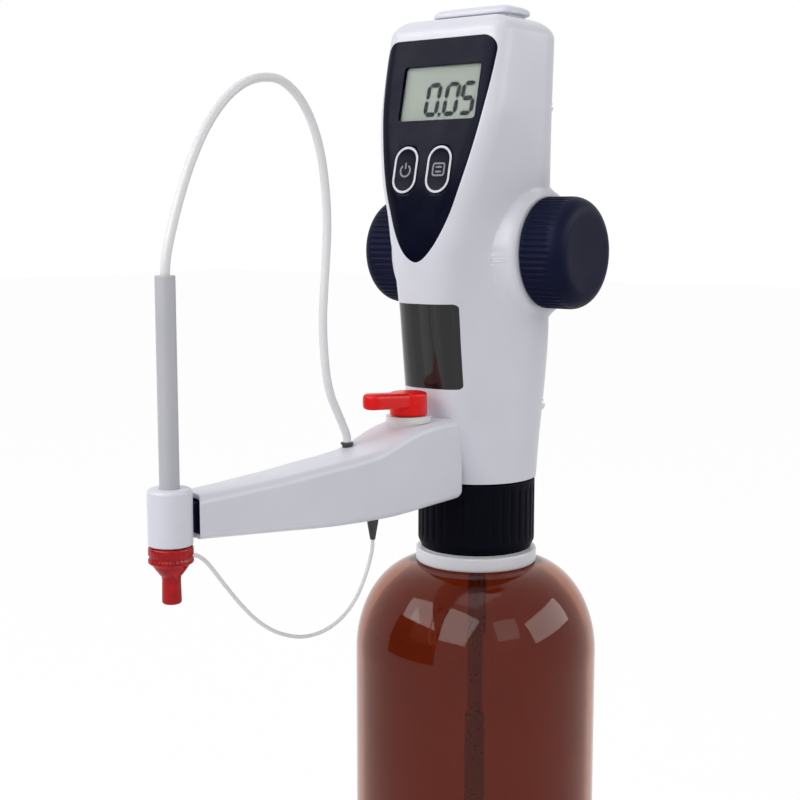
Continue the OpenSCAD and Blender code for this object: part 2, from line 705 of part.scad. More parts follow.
module shaft_bushes() {
    color(brass) both_sides() difference() {
        union() {
            along_x(boss_x - bush_l, boss_x - 0.2, bush_r);
            along_x(boss_x - bush_l - 1.2, boss_x - bush_l + 0.6, bush_r + 1.4);
        }
        along_x(boss_x - bush_l - 3, boss_x + 1, shaft_d / 2 + fit);
    }
}
module encoder_disc() {
    color([0.15, 0.15, 0.15]) difference() {
        union() {
            along_x(disc_x, disc_x + 1, disc_r);
            along_x(disc_x - 3, disc_x + 3, shaft_d / 2 + 2);
        }
        along_x(disc_x - 5, disc_x + 5, shaft_d / 2 + 0.01);
        for (i = [0 : 23]) translate([disc_x - 1, parting_y, shaft_z]) rotate([i * 15, 0, 0])
            translate([0, disc_r - 2.4, -0.4]) cube([3, 1.6, 0.8]);
    }
}
module encoder_sensor() {
    color([0.12, 0.12, 0.14]) difference() {
        translate([disc_x - 1.8, parting_y + 6.5, shaft_z - 4])
            cube([4.6, body_rear - shell_wall - parting_y - 8.8, 8]);
        translate([disc_x - 1, parting_y, shaft_z - 5]) cube([3, disc_r + 1, 10]);
    }
}

// ---------- handwheels ----------
wheel_r = wheel_d / 2;
wheel_edge = 7;
module handwheel_outline() {
    n = wheel_ribs;
    polygon([for (i = [0 : n - 1], k = [0 : 3]) polar(k == 1 || k == 2 ? wheel_r : wheel_r - rib_depth,
        (i + [0.06, 0.22, 0.62, 0.78][k]) * 360 / n)]);
}
module handwheel() {
    face_r = wheel_face_d / 2;
    edge = [for (a = [0 : 15 : 90]) [face_r + (wheel_r - face_r) * cos(a),
        wheel_t - wheel_edge + wheel_edge * sin(a)]];
    profile = concat([[0, 0], [wheel_r - 1, 0], [wheel_r, 1]], edge,
        [[face_r - 1.5, wheel_t], [face_r - 3, wheel_t - 0.6], [0, wheel_t - 0.6]]);
    translate([wheel_in, parting_y, shaft_z]) rotate([0, 90, 0]) difference() {
        intersection() {
            linear_extrude(wheel_t) handwheel_outline();
            rotate_extrude($fn = 96) polygon(profile);
        }
        translate([0, 0, -1]) cylinder(r = shaft_d / 2 + 0.01, h = wheel_t - 2);
    }
}
module handwheel_right() {
    color(navy) handwheel();
}
module handwheel_left() {
    color(navy) mirror([1, 0, 0]) handwheel();
}

// ---------- battery bay ----------
bay_floor = roof_z - cell_d - 6;
lid_z = roof_z + roof_h + 0.6;
tray_w = 1.2;
cell_y = [bay_y0 + 1 + cell_d / 2, bay_y0 + 1 + cell_d * 1.5];
tray_corner = 1.6;
module battery_tray() {
    x = bay_w / 2 - 0.1;
    y0 = bay_y0 + 0.1;
    y1 = bay_y0 + bay_d - 0.1;
    color([0.25, 0.26, 0.30]) difference() {
        translate([0, 0, bay_floor]) linear_extrude(roof_z + 3 - bay_floor)
            polygon([[-x, y0], [x, y0], [x, y1 - tray_corner], [x - tray_corner, y1],
                [tray_corner - x, y1], [-x, y1 - tray_corner]]);
        translate([-bay_w / 2 + tray_w, bay_y0 + 0.9, bay_floor + tray_w])
            cube([bay_w - 2 * tray_w, bay_d - 1.8, 40]);
    }
}
module battery_cells() {
    color([0.30, 0.35, 0.42]) for (y = cell_y) translate([0, y, bay_floor + tray_w + cell_d / 2])
        rotate([0, 90, 0]) {
            translate([0, 0, -cell_l / 2 + 1]) cylinder(d = cell_d - 0.2, h = cell_l - 2.2);
            translate([0, 0, cell_l / 2 - 1.3]) cylinder(d = 3, h = 1);
        }
}
module battery_contacts() {
    x = bay_w / 2 - tray_w;
    color(steel) for (y = cell_y, g = [-1, 1])
        translate([g > 0 ? x - 0.4 : -x, y - 3, bay_floor + tray_w + 1]) cube([0.4, 6, 6]);
}
module battery_lid() {
    mid = [0, bay_y0 + lid_d / 2];
    edge = [for (a = [0 : 15 : 75]) [2.6 * (1 - cos(a)), lid_t - 2.6 * (1 - sin(a))]];
    color(white) {
        loft([for (e = concat([[0.8, 0], [0, 0.8]], edge))
            rect_ring(mid, lid_w / 2 - e[0], lid_d / 2 - e[0], 5.5 - e[0], lid_z + e[1])]);
        translate([-bay_w / 2 + 1.6, bay_y0 + 1.3, roof_z + 1])
            cube([bay_w - 3.2, bay_d - 2.6, lid_z - roof_z - 0.6]);
    }
}

// ---------- arm ----------
// Stations along the arm: distance from the axis, half width, bottom, top above the foot
arm_end = nozzle_reach - 12.8;
arm_a = arm_root_w / 2;
arm_b = arm_tip_w / 2;
function arm_half(s) = mix(arm_a, arm_b, min(1, max(0, (s - 45) / (arm_end - 45))));
arm_stations = [[arm_root, -4.4, 26.4], [29, -4.7, 27.3], [33, -4.8, 27.6], [45, -4.9, 27.5],
    [54, -5.2, 26.6], [62, -5.4, 25], [70, -5.4, 22.8], [78, -5.1, 20.8], [88, -4.5, 19.9],
    [105, -3.2, 19.3], [125, -1, 18.6], [145, 1.2, 18.2], [arm_end, 3, 18.1]];
arm_fine = smooth(arm_stations, 2);
function arm_ring(s, low, high, inset, r) = let (w = arm_half(s) - inset, a = low + inset,
    b = high - inset, q = max(0.6, r - inset)) concat(
    [for (t = [0 : 30 : 90]) [w - q + q * cos(t), -s, base_z + b - q + q * sin(t)]],
    [for (t = [90 : 30 : 180]) [q - w + q * cos(t), -s, base_z + b - q + q * sin(t)]],
    [for (t = [180 : 30 : 270]) [q - w + q * cos(t), -s, base_z + a + q + q * sin(t)]],
    [for (t = [270 : 30 : 360]) [w - q + q * cos(t), -s, base_z + a + q + q * sin(t)]]);
// The root's rear edges are rounded by drawing the first outlines inwards
function root_inset(s) = s >= 29 ? 0 : 2.6 * (1 - sqrt(1 - pow((29 - s) / 3.001, 2)));
arm_hollow_from = 62;
stopcock_r = 8;
stopcock_low = base_z - 0.8;
arm_top_z = base_z + 27.5;
gland_top = arm_top_z + 2.6;
fitting_x = -6.6;
fitting_y = -77;
module arm_shell() {
    outer = [for (p = arm_fine) arm_ring(p[0], p[1], p[2], root_inset(p[0]), 3.2)];
    hollow = [for (s = [arm_hollow_from, 80, 105, 130, arm_end + 2])
        let (low = lookup(s, [for (p = arm_fine) [p[0], p[1]]]),
        high = lookup(s, [for (p = arm_fine) [p[0], p[2]]]))
        arm_ring(s, low, high, arm_wall, 3.2)];
    color(white) difference() {
        loft(outer);
        loft(hollow);
        translate([0, -stopcock_y, stopcock_low]) cylinder(r = stopcock_r + 0.02, h = 60);
        translate([0, -20, outlet_z]) rotate([90, 0, 0]) cylinder(r = outlet_r + 0.02, h = 60);
        translate([fitting_x, fitting_y, outlet_z]) cylinder(r = 1.9, h = 40);
        translate([0, -70, base_z - 12]) cylinder(r = 1.1, h = 12.6);
    }
}
module supply_tube() {
    color("white") {
        translate([0, -8.5, outlet_z]) rotate([90, 0, 0]) difference() {
            cylinder(r = outlet_r, h = stopcock_y - stopcock_r - 8.5);
            translate([0, 0, -1]) cylinder(r = outlet_r - 0.8, h = 60);
        }
        translate([0, -stopcock_y - stopcock_r, outlet_z]) rotate([90, 0, 0]) difference() {
            cylinder(r = outlet_r, h = 8);
            translate([0, 0, -1]) cylinder(r = outlet_r - 0.8, h = 10);
        }
    }
}
plug_r = plug_d / 2;
module stopcock_body() {
    color([0.9, 0.9, 0.92]) translate([0, -stopcock_y, 0]) difference() {
        union() {
            translate([0, 0, stopcock_low]) cylinder(r = stopcock_r, h = gland_top - stopcock_low);
            translate([0, 0, arm_top_z + 0.2])
                cylinder(r = stopcock_r + 0.8, h = gland_top - arm_top_z - 0.2);
        }
        translate([0, 0, stopcock_low + 1.6]) cylinder(r = plug_r + fit, h = 60);
        translate([0, stopcock_r + 1, outlet_z]) rotate([90, 0, 0])
            cylinder(r = outlet_r - 0.8, h = 2 * stopcock_r + 2);
    }
}
hub_z = gland_top + clear;
hub_h = 8.8;
module valve_key() {
    color(red) translate([0, -stopcock_y, 0]) difference() {
        union() {
            translate([0, 0, stopcock_low + 2]) cylinder(r = plug_r, h = hub_z - stopcock_low - 1);
            translate([0, 0, hub_z]) cylinder(d = hub_d, h = hub_h - 1);
            translate([0, 0, hub_z + hub_h - 1]) cylinder(d1 = hub_d, d2 = hub_d - 2, h = 1);
            hull() {
                translate([0, 0, hub_z + 2.6]) cylinder(d = lever_w, h = hub_h - 3, $fn = 32);
                translate([0, lever_w / 2 - lever_l, hub_z + 4.4])
                    cylinder(d = lever_w, h = hub_h - 3.2, $fn = 32);
            }
        }
        translate([0, 20, outlet_z]) rotate([90, 0, 0]) cylinder(r = 1.2, h = 40);
    }
}
fitting_top = base_z + 22.5;
module tube_fitting() {
    color(grey) translate([fitting_x, fitting_y, 0]) difference() {
        union() {
            translate([0, 0, outlet_z + 6]) cylinder(r = 1.88, h = fitting_top - outlet_z - 6);
            translate([0, 0, fitting_top - 0.7]) cylinder(r = 2.4, h = 0.7);
        }
        translate([0, 0, outlet_z]) cylinder(r = 0.8, h = 40);
    }
}

// ---------- nozzle ----------
holder_z = base_z + 2.6;
holder_top = holder_z + holder_h;
sleeve_top = holder_top + sleeve_l;
module at_nozzle() {
    translate([0, -nozzle_reach, 0]) children();
}
spigot_h = 5;
spigot_r = 4.9;
nozzle_low = holder_z - 15;
module nozzle_holder() {
    tongue_w = arm_tip_w - 2 * arm_wall - 1.2;
    color(white) difference() {
        union() {
            at_nozzle() translate([0, 0, holder_z + 0.8]) cylinder(d = holder_d, h = holder_h - 2);
            at_nozzle() translate([0, 0, holder_z]) cylinder(d1 = holder_d - 1.4, d2 = holder_d, h = 0.8);
            at_nozzle() translate([0, 0, holder_top - 1.2])
                cylinder(d1 = holder_d, d2 = holder_d - 2.4, h = 1.2);
            at_nozzle() translate([0, 0, holder_z - spigot_h]) cylinder(r = spigot_r, h = spigot_h + 1);
            translate([-tongue_w / 2, -nozzle_reach + holder_d / 2 - 2, holder_z + 3.4])
                cube([tongue_w, nozzle_reach - arm_end + 10 - holder_d / 2 + 2, 9.6]);
        }
        at_nozzle() translate([0, 0, holder_z + 6]) cylinder(d = sleeve_d + 0.02, h = 40);
        at_nozzle() translate([0, 0, holder_z - 20]) cylinder(r = 2.02, h = 40);
    }
}
module guide_sleeve() {
    color([0.73, 0.73, 0.76]) at_nozzle() difference() {
        union() {
            translate([0, 0, holder_z + 6]) cylinder(d = sleeve_d, h = sleeve_top - holder_z - 6.5);
            translate([0, 0, sleeve_top - 0.5]) cylinder(d1 = sleeve_d, d2 = sleeve_d - 1, h = 0.5);
        }
        translate([0, 0, holder_z]) cylinder(r = tube_d / 2 + 0.15, h = 200);
    }
}
module nozzle_tip() {
    color("white") at_nozzle() difference() {
        union() {
            translate([0, 0, nozzle_low + 4]) cylinder(r = 2, h = holder_z + 6 - nozzle_low - 4);
            translate([0, 0, nozzle_low]) cylinder(r1 = 1.1, r2 = 2, h = 4);
        }
        translate([0, 0, nozzle_low - 1]) cylinder(r = 0.6, h = 40);
    }
}
cap_top = holder_z - clear;
cap_low = holder_z - 19.2;
module screw_cap() {
    r = cap_d / 2;
    t = cap_tip_d / 2;
    color(red) at_nozzle() rotate_extrude() polygon([[0, cap_low], [t - 0.8, cap_low], [t, cap_low + 0.8],
        [t - 0.2, cap_low + 8], [t + 1.4, cap_low + 10.4], [r - 1.4, cap_low + 12.6],
        [r - 1.2, cap_low + 13.4], [r, cap_low + 14], [r, cap_top - 0.8], [r - 0.8, cap_top],
        [spigot_r + clear, cap_top], [spigot_r + clear, cap_top - spigot_h - 0.6],
        [2.5, cap_top - spigot_h - 2.6], [2.3, cap_low + 2.5], [0, cap_low + 2.5]]);
}

// ---------- discharge tube and strap ----------
// Both cords follow points that are given from the housing's foot upwards
function from_foot(route) = [for (p = route) p + [0, 0, base_z]];
tube_route = [[-6.6, -77, 22.7], [-6.6, -77.2, 24.8], [-6.6, -78.7, 28], [-6.6, -82.2, 34],
    [-6.6, -86, 40.5], [-6.6, -88.5, 48], [-6.6, -90, 58], [-6.6, -90.5, 69], [-6.4, -90, 80],
    [-6.2, -89, 92], [-6, -88.5, 104], [-5.8, -89.5, 116], [-5.6, -92, 128], [-5.2, -97, 139],
    [-4.6, -104.5, 147.5], [-4, -114, 152.5], [-3.2, -124, 153], [-2.6, -134, 150.5],
    [-2, -144, 144.5], [-1.5, -153, 135.5], [-1, -160.5, 124.5], [-0.6, -166.5, 112.5],
    [-0.2, -170.8, 102], [0, -173.2, 94.5], [0, -174, 88], [0, -174, 82], [0, -174, 76]];
module discharge_tube() {
    color([0.85, 0.85, 0.85]) cord_tube(smooth(from_foot(tube_route), 2), tube_d, 8);
}
strap_route = [[0, -166.6, -2], [0, -162, -3.5], [0, -157.5, -7], [0, -151, -14.5],
    [0, -143, -23.5], [0, -134, -32], [0, -124, -38.5], [0, -112, -43], [0, -100, -44],
    [0, -89, -41.5], [0, -80.5, -36], [0, -75, -29], [0, -71.2, -21.5], [0, -70.2, -18],
    [0, -70, -15.2]];
module strap() {
    color([0.80, 0.81, 0.80]) cord_tube(smooth(from_foot(strap_route), 2), strap_d, 8);
}
anchor_y = -70;
anchor_low = base_z - 15;
anchor_top = base_z - 5.5;
module strap_anchor() {
    color([0.2, 0.2, 0.22]) translate([0, anchor_y, 0]) {
        translate([0, 0, anchor_low]) cylinder(r1 = 1, r2 = 2.6, h = anchor_top - anchor_low);
        translate([0, 0, anchor_top]) cylinder(r = 1.08, h = 6);
    }
}

bottle();
thread_adapter();
bottle_collar();
bottle_gasket();
valve_block();
intake_ball();
discharge_ball();
intake_tube_upper();
intake_tube_lower();
return_tube();
housing_front();
housing_rear();
housing_screws();
front_panel();
display_window();
lcd_module();
circuit_board();
key_power();
key_clear();
inspection_window();
glass_cylinder();
cylinder_cap();
piston();
piston_seal();
rack_rod();
pinion();
drive_shaft();
shaft_bushes();
encoder_disc();
encoder_sensor();
handwheel_left();
handwheel_right();
battery_tray();
battery_cells();
battery_contacts();
battery_lid();
arm_shell();
supply_tube();
stopcock_body();
valve_key();
tube_fitting();
nozzle_holder();
guide_sleeve();
nozzle_tip();
discharge_tube();
screw_cap();
strap();
strap_anchor();
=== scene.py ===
"""Digital burette on its reservoir bottle: shells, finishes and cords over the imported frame."""
import math

import bpy
import numpy as np
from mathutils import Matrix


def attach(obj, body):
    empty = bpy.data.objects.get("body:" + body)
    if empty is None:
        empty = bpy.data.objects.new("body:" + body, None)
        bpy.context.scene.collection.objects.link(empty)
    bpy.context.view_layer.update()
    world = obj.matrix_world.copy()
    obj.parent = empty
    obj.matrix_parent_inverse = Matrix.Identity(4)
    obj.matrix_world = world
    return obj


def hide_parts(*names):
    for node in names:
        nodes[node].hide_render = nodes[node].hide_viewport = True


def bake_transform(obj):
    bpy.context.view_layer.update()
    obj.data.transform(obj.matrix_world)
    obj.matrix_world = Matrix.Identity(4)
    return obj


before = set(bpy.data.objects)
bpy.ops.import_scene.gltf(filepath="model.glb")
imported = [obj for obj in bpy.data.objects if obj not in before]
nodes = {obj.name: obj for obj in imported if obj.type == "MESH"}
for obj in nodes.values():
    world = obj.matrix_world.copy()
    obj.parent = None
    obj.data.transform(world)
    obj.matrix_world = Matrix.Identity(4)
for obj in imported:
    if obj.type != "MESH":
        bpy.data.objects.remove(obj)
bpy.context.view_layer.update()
MM = 0.001

# ---- driving sizes, in mm
BOTTLE_R, BOTTLE_H, BOTTLE_WALL = 50.5, 225.0, 3.0
NECK_R, NECK_IN, SHOULDER_Z, SHOULDER_H = 21.0, 16.5, 197.4, 38.0
BASE_Z, BODY_H, ROOF_H = 234.0, 176.0, 8.0
HALF_W, BODY_REAR, FOOT_R = 29.5, 22.0, 24.6
SHELL_WALL, PARTING_Y = 2.2, 5.0
PANEL_HALF_W, PANEL_TIP, PANEL_TOP, PANEL_CORNER, PANEL_T = 26.0, 89.0, 175.0, 6.0, 1.6
DISPLAY_X, DISPLAY_UP, DISPLAY_W, DISPLAY_H = 3.0, 154.0, 36.0, 21.6
KEY_X, KEY_UP, KEY_W, KEY_H = 7.9, 124.5, 12.2, 19.4
WINDOW_HALF, WINDOW_LOW, WINDOW_HIGH = 14.4, 39.4, 73.0
SHAFT_Z, BOSS_X, BOSS_R = BASE_Z + 92.3, 30.2, 23.0
SCREW_X, SCREW_HEIGHTS, SCREW_SEAT_Y = 24.3, (30.0, 150.0), 10.6
SCREW_HOLE_R, SCREW_WELL_R, SCREW_BOSS_R = 1.7, 3.0, 4.0
WHEEL_R, WHEEL_T, WHEEL_IN, WHEEL_FACE_R, WHEEL_RIM, WHEEL_DISH = 22.2, 18.0, 30.5, 15.5, 7.0, 0.35
RIBS, RIB_DEPTH = 56, 0.5
BAY_HALF, BAY_Y0, BAY_D, BAY_CORNER, BAY_FLOOR = 17.0, -8.6, 18.6, 1.5, BASE_Z + 161.7
BAY_Y = BAY_Y0 + BAY_D / 2
TRAY_H, CELL_D, CELL_L = 17.3, 8.3, 30.0
LID_W, LID_D, LID_T, LID_STEP, LID_CORNER, LID_CROWN = 38.0, 20.0, 3.8, 1.1, 5.5, 7.0
LID_Z = BASE_Z + BODY_H + ROOF_H + 0.4 + LID_STEP
ADAPTER_R, ADAPTER_Z, ADAPTER_H = 25.2, 197.5, 6.0
COLLAR_R, COLLAR_Z, COLLAR_TOP, FLUTES, FLUTE_DEPTH = 24.3, 203.8, 233.4, 36, 0.42
COLLAR_EDGE = COLLAR_Z + 3.5
NOZZLE_Y, HOLDER_R, HOLDER_Z, HOLDER_H, SLOT = -174.0, 7.25, BASE_Z + 2.6, 18.4, 2.2
SLEEVE_R, SLEEVE_TOP = 3.25, BASE_Z + 88.5
CAP_R, GRIPS, GRIP_DEPTH = 7.3, 30, 0.16
STOPCOCK_Y, HUB_R, HUB_Z, HUB_H, PLUG_R, PLUG_L = -47.4, 7.25, BASE_Z + 30.4, 8.8, 4.5, 28.0
LEVER_L, LEVER_W, LEVER_RISE = 26.0, 8.0, 1.8
ARM_ROOT, ARM_FULL, ARM_TAPER, ARM_END = 26.0, 29.0, 45.0, 169.0
ARM_A, ARM_B, ARM_ROUND, ARM_WALL = 12.0, 7.3, 3.2, 1.6
TUBE_D, STRAP_D = 3.1, 1.4
AXIS = 0.001        # radius where a turned profile meets its axis


# ---- camera
LENS_MM = 62.8
CAMERA_AT = (0.3225, -0.4771, 0.3410)
CAMERA_TURN_DEG, CAMERA_TILT_DEG = 37.24, -7.53
camera_data = bpy.data.cameras.new("camera")
camera_data.lens = LENS_MM
camera_data.sensor_width = 36.0
camera_data.clip_start = 0.01
camera = bpy.data.objects.new("camera", camera_data)
camera.location = CAMERA_AT
camera.rotation_euler = (math.radians(90 + CAMERA_TILT_DEG), 0, math.radians(CAMERA_TURN_DEG))
bpy.context.scene.collection.objects.link(camera)
bpy.context.scene.camera = camera


# ---- mesh helpers
def mesh_object(name, verts, faces, smooth=True):
    """An object from vertices in mm and faces of vertex numbers, wound so normals point out."""
    mesh = bpy.data.meshes.new(name)
    points = np.asarray(verts, dtype=float) * MM
    mesh.from_pydata(points.tolist(), [], [list(map(int, f)) for f in faces])
    mesh.validate()
    mesh.update()
    obj = bpy.data.objects.new(name, mesh)
    bpy.context.scene.collection.objects.link(obj)
    if smooth:
        mesh.polygons.foreach_set("use_smooth", [True] * len(mesh.polygons))
    return obj


def grid_faces(rows, cols, wrap, flip):
    """Quads of a rows by cols grid numbered row by row: (i,j) (i,j+1) (i+1,j+1) (i+1,j)."""
    i, j = np.meshgrid(np.arange(rows - 1), np.arange(cols if wrap else cols - 1), indexing="ij")
    k = (j + 1) % cols
    quads = np.stack([i * cols + j, i * cols + k, (i + 1) * cols + k, (i + 1) * cols + j], axis=-1)
    quads = quads.reshape(-1, 4)
    return quads[:, ::-1] if flip else quads


class Build:
    """Collects grids and polygons of one piece, in mm."""

    def __init__(self):
        self.verts = []
        self.faces = []
        self.count = 0

    def add(self, points, faces):
        self.verts.append(np.asarray(points, dtype=float).reshape(-1, 3))
        self.faces.extend((np.asarray(f) + self.count).tolist() for f in faces)
        self.count += len(self.verts[-1])

    def grid(self, points, wrap=False, flip=False):
        """points is rows x cols x 3; the normal is (column step) x (row step), or its opposite."""
        rows, cols = points.shape[:2]
        self.add(points, grid_faces(rows, cols, wrap, flip))

    def mirrored(self, points):
        """The grid and its mirror image in X."""
        self.grid(points)
        self.grid(points * np.array([-1.0, 1.0, 1.0]), flip=True)

    def fill(self, ring):
        """One polygon over a ring of points."""
        self.add(ring, [list(range(len(ring)))])

    def join(self, other):
        self.add(np.concatenate(other.verts), other.faces)

    def object(self, name, merge=0.004, smooth=True):
        obj = mesh_object(name, np.concatenate(self.verts), self.faces, smooth)
        if merge:
            weld = obj.modifiers.new("weld", "WELD")
            weld.merge_threshold = merge * MM
            bake(obj)
        return obj


def bake(obj):
    """Applies the object's modifiers to its mesh."""
    graph = bpy.context.evaluated_depsgraph_get()
    mesh = bpy.data.meshes.new_from_object(obj.evaluated_get(graph))
    old = obj.data
    obj.modifiers.clear()
    obj.data = mesh
    bpy.data.meshes.remove(old)
    obj.data.name = obj.name
    return obj


def solidify(obj, wall):
    """Gives a skin its wall, on the inner side."""
    mod = obj.modifiers.new("wall", "SOLIDIFY")
    mod.thickness = wall * MM
    mod.offset = -1.0
    mod.use_even_offset = False
    mod.use_quality_normals = True
    return bake(obj)


def bevel(obj, width):
    """Rounds the edges that bend by more than 40 degrees."""
    mod = obj.modifiers.new("edge", "BEVEL")
    mod.width = width * MM
    mod.segments = 2
    mod.limit_method = "ANGLE"
    mod.angle_limit = math.radians(40)
    mod.harden_normals = False
    return bake(obj)


def cut(obj, *cutters, keep="DIFFERENCE"):
    """Takes the cutters' volumes out of obj, or keeps what they share, and deletes the cutters."""
    for cutter in cutters:
        mod = obj.modifiers.new("cut", "BOOLEAN")
        mod.operation = keep
        mod.solver = "EXACT"
        mod.object = cutter
        bake(obj)
        bpy.data.objects.remove(cutter)
    return obj


def sharpen(obj, angle=35.0):
    """Marks edges over the angle as sharp, so flat and round faces shade apart."""
    obj.data.polygons.foreach_set("use_smooth", [True] * len(obj.data.polygons))
    obj.data.set_sharp_from_angle(angle=math.radians(angle))
    return obj


def arc(cx, cy, r, a0, a1, steps=8):
    """Points of a circular arc: (cx + r cos a, cy + r sin a) for a from a0 to a1 degrees."""
    a = np.radians(np.linspace(a0, a1, steps + 1))
    return np.stack([cx + r * np.cos(a), cy + r * np.sin(a)], axis=-1)


def circle(steps):
    """Angles of evenly spread points round a circle."""
    return np.linspace(0, 2 * np.pi, steps, endpoint=False)


def revolved(profile, at, turns, wave=None):
    """Grid of a surface of revolution about a vertical axis: (r cos t, r sin t, z) for each
    profile point (r, z), listed from the bottom up the outside. wave(t, z) may add to r."""
    profile = np.asarray(profile, dtype=float)
    t = circle(turns)
    r, z = (np.repeat(profile[:, k:k + 1], turns, axis=1) for k in (0, 1))
    if wave is not None:
        r = r + wave(t[None, :], z)
    return np.stack([at[0] + r * np.cos(t), at[1] + r * np.sin(t), z], axis=-1)


def lathe(name, profile, at, turns, wave=None):
    """A turned piece: the profile's surface of revolution."""
    made = Build()
    made.grid(revolved(profile, at, turns, wave), wrap=True)
    return made.object(name)


def raised(xy, z):
    """Points of a flat outline at height z."""
    return np.column_stack([xy, np.full(len(xy), z)])


def both_sides(right):
    """A line that starts on the plane X = 0, after its mirror image run backwards."""
    return np.concatenate([right[:0:-1] * [-1, 1], right])


def prism(outline, z0, z1):
    """Build of an upright prism over a counter-clockwise outline, in its own X, Y, Z."""
    outline = np.asarray(outline, dtype=float)
    n = len(outline)
    made = Build()
    made.add(np.concatenate([raised(outline, z0), raised(outline, z1)]),
             [[i, (i + 1) % n, n + (i + 1) % n, n + i] for i in range(n)]
             + [list(range(n - 1, -1, -1)), list(range(n, 2 * n))])
    return made


def rounded_rect(w, h, r, steps=6):
    """Counter-clockwise rounded rectangle about the origin."""
    x, y = w / 2 - r, h / 2 - r
    return np.concatenate([arc(x, y, r, 0, 90, steps), arc(-x, y, r, 90, 180, steps),
                           arc(-x, -y, r, 180, 270, steps), arc(x, -y, r, 270, 360, steps)])


def oval(w, h, steps=16):
    """Counter-clockwise upright stadium about the origin."""
    return np.concatenate([arc(0, (h - w) / 2, w / 2, 0, 180, steps),
                           arc(0, (w - h) / 2, w / 2, 180, 360, steps)])


def catmull(table, per):
    """Uniform Catmull-Rom points through the table's rows, per steps a span."""
    t = np.asarray(table, dtype=float)
    p = np.concatenate([t[:1], t, t[-1:]])
    u = np.arange((len(t) - 1) * per + 1) / per
    i = np.minimum(u.astype(int), len(t) - 2)
    s = (u - i)[:, None]
    a, b, c, d = p[i], p[i + 1], p[i + 2], p[i + 3]
    return b + s / 2 * ((c - a) + s * (2 * a - 5 * b + 4 * c - d + s * (3 * b - a - 3 * c + d)))


# ---- shader helpers
class Value:
    """A shader socket with arithmetic: each operation adds one Math node."""

    def __init__(self, shader, socket):
        self.shader = shader
        self.socket = socket

    def math(self, kind, *others, clamp=False):
        node = self.shader.tree.nodes.new("ShaderNodeMath")
        node.operation = kind
        node.use_clamp = clamp
        for slot, value in zip(node.inputs, (self, *others)):
            self.shader.feed(slot, value)
        return Value(self.shader, node.outputs[0])

    def __add__(self, other):
        return self.math("ADD", other)

    def __mul__(self, other):
        return self.math("MULTIPLY", other)

    def __sub__(self, other):
        return self.math("SUBTRACT", other)

    def clamp(self):
        return self.math("ADD", 0.0, clamp=True)


class Shader:
    """A node material round one Principled BSDF."""

    def __init__(self, name, **settings):
        self.material = bpy.data.materials.new(name)
        self.material.use_nodes = True
        self.tree = self.material.node_tree
        self.surface = self.tree.nodes["Principled BSDF"]
        for key, value in settings.items():
            self.surface.inputs[key.replace("_", " ")].default_value = value
        self.coords = self.node("ShaderNodeTexCoord")["Object"]

    def feed(self, slot, value):
        if isinstance(value, Value):
            self.tree.links.new(value.socket, slot)
        else:
            slot.default_value = value

    def node(self, kind, settings=None, inputs=None):
        """Adds a node and returns its outputs by name."""
        made = self.tree.nodes.new(kind)
        for key, value in (settings or {}).items():
            setattr(made, key, value)
        for key, value in (inputs or {}).items():
            self.feed(made.inputs[key], value)
        return {o.name: Value(self, o) for o in made.outputs}

    def noise(self, scale, detail, roughness=0.55):
        """Noise of about 1/scale metres, from 0 to 1."""
        return self.node("ShaderNodeTexNoise", None, {
            "Vector": self.coords, "Scale": scale, "Detail": detail, "Roughness": roughness})["Fac"]

    def streaks(self, along, detail):
        """Noise along one number only, from 0 to 1, so that it runs in streaks."""
        return self.node("ShaderNodeTexNoise", {"noise_dimensions": "1D"},
                         {"W": along, "Scale": 1.0, "Detail": detail})["Fac"]

    def xyz(self):
        out = self.node("ShaderNodeSeparateXYZ", None, {"Vector": self.coords})
        return out["X"], out["Y"], out["Z"]

    def mix(self, low, high, amount):
        """Colour from low to high by amount; the inputs and the result are the node's RGBA ones."""
        made = self.tree.nodes.new("ShaderNodeMix")
        made.data_type = "RGBA"
        self.feed(made.inputs[0], amount)
        self.feed(made.inputs[6], low)
        self.feed(made.inputs[7], high)
        return Value(self, made.outputs[2])

    def remap(self, value, a, b, c, d):
        """value from [a, b] to [c, d], held at the ends."""
        return self.node("ShaderNodeMapRange", {"clamp": True}, {
            "Value": value, "From Min": a, "From Max": b, "To Min": c, "To Max": d})["Result"]

    def bump(self, height, distance):
        """Bumps of that many metres by height, from 0 to 1."""
        self.set(Normal=self.node("ShaderNodeBump", None, {
            "Height": height, "Distance": distance, "Strength": 1.0})["Normal"])

    def set(self, **values):
        for key, value in values.items():
            self.feed(self.surface.inputs[key.replace("_", " ")], value)


def dimmed(colour, factor):
    return tuple(c * factor for c in colour[:3]) + (1.0,)


def srgb(r, g, b):
    """Linear colour of an 8-bit sRGB colour."""
    c = np.array([r, g, b]) / 255.0
    lin = np.where(c <= 0.04045, c / 12.92, ((c + 0.055) / 1.055) ** 2.4)
    return (*lin.tolist(), 1.0)


def moulded(name, colour, shade, rough, grain=2600.0, depth=0.000012, specular=0.25):
    """Injection-moulded plastic: fine spark texture, slow drift of colour and gloss."""
    s = Shader(name, Specular_IOR_Level=specular)
    drift = s.noise(22.0, 3.0)
    fine = s.noise(grain, 2.0)
    wipes = s.noise(90.0, 4.0, 0.65)
    s.set(Base_Color=s.mix(colour, shade, s.remap(drift, 0.35, 0.75, 0.0, 1.0)),
          Roughness=s.remap(wipes, 0.3, 0.75, rough - 0.05, rough + 0.09))
    s.bump(fine + wipes * 0.25, depth)
    return s.material


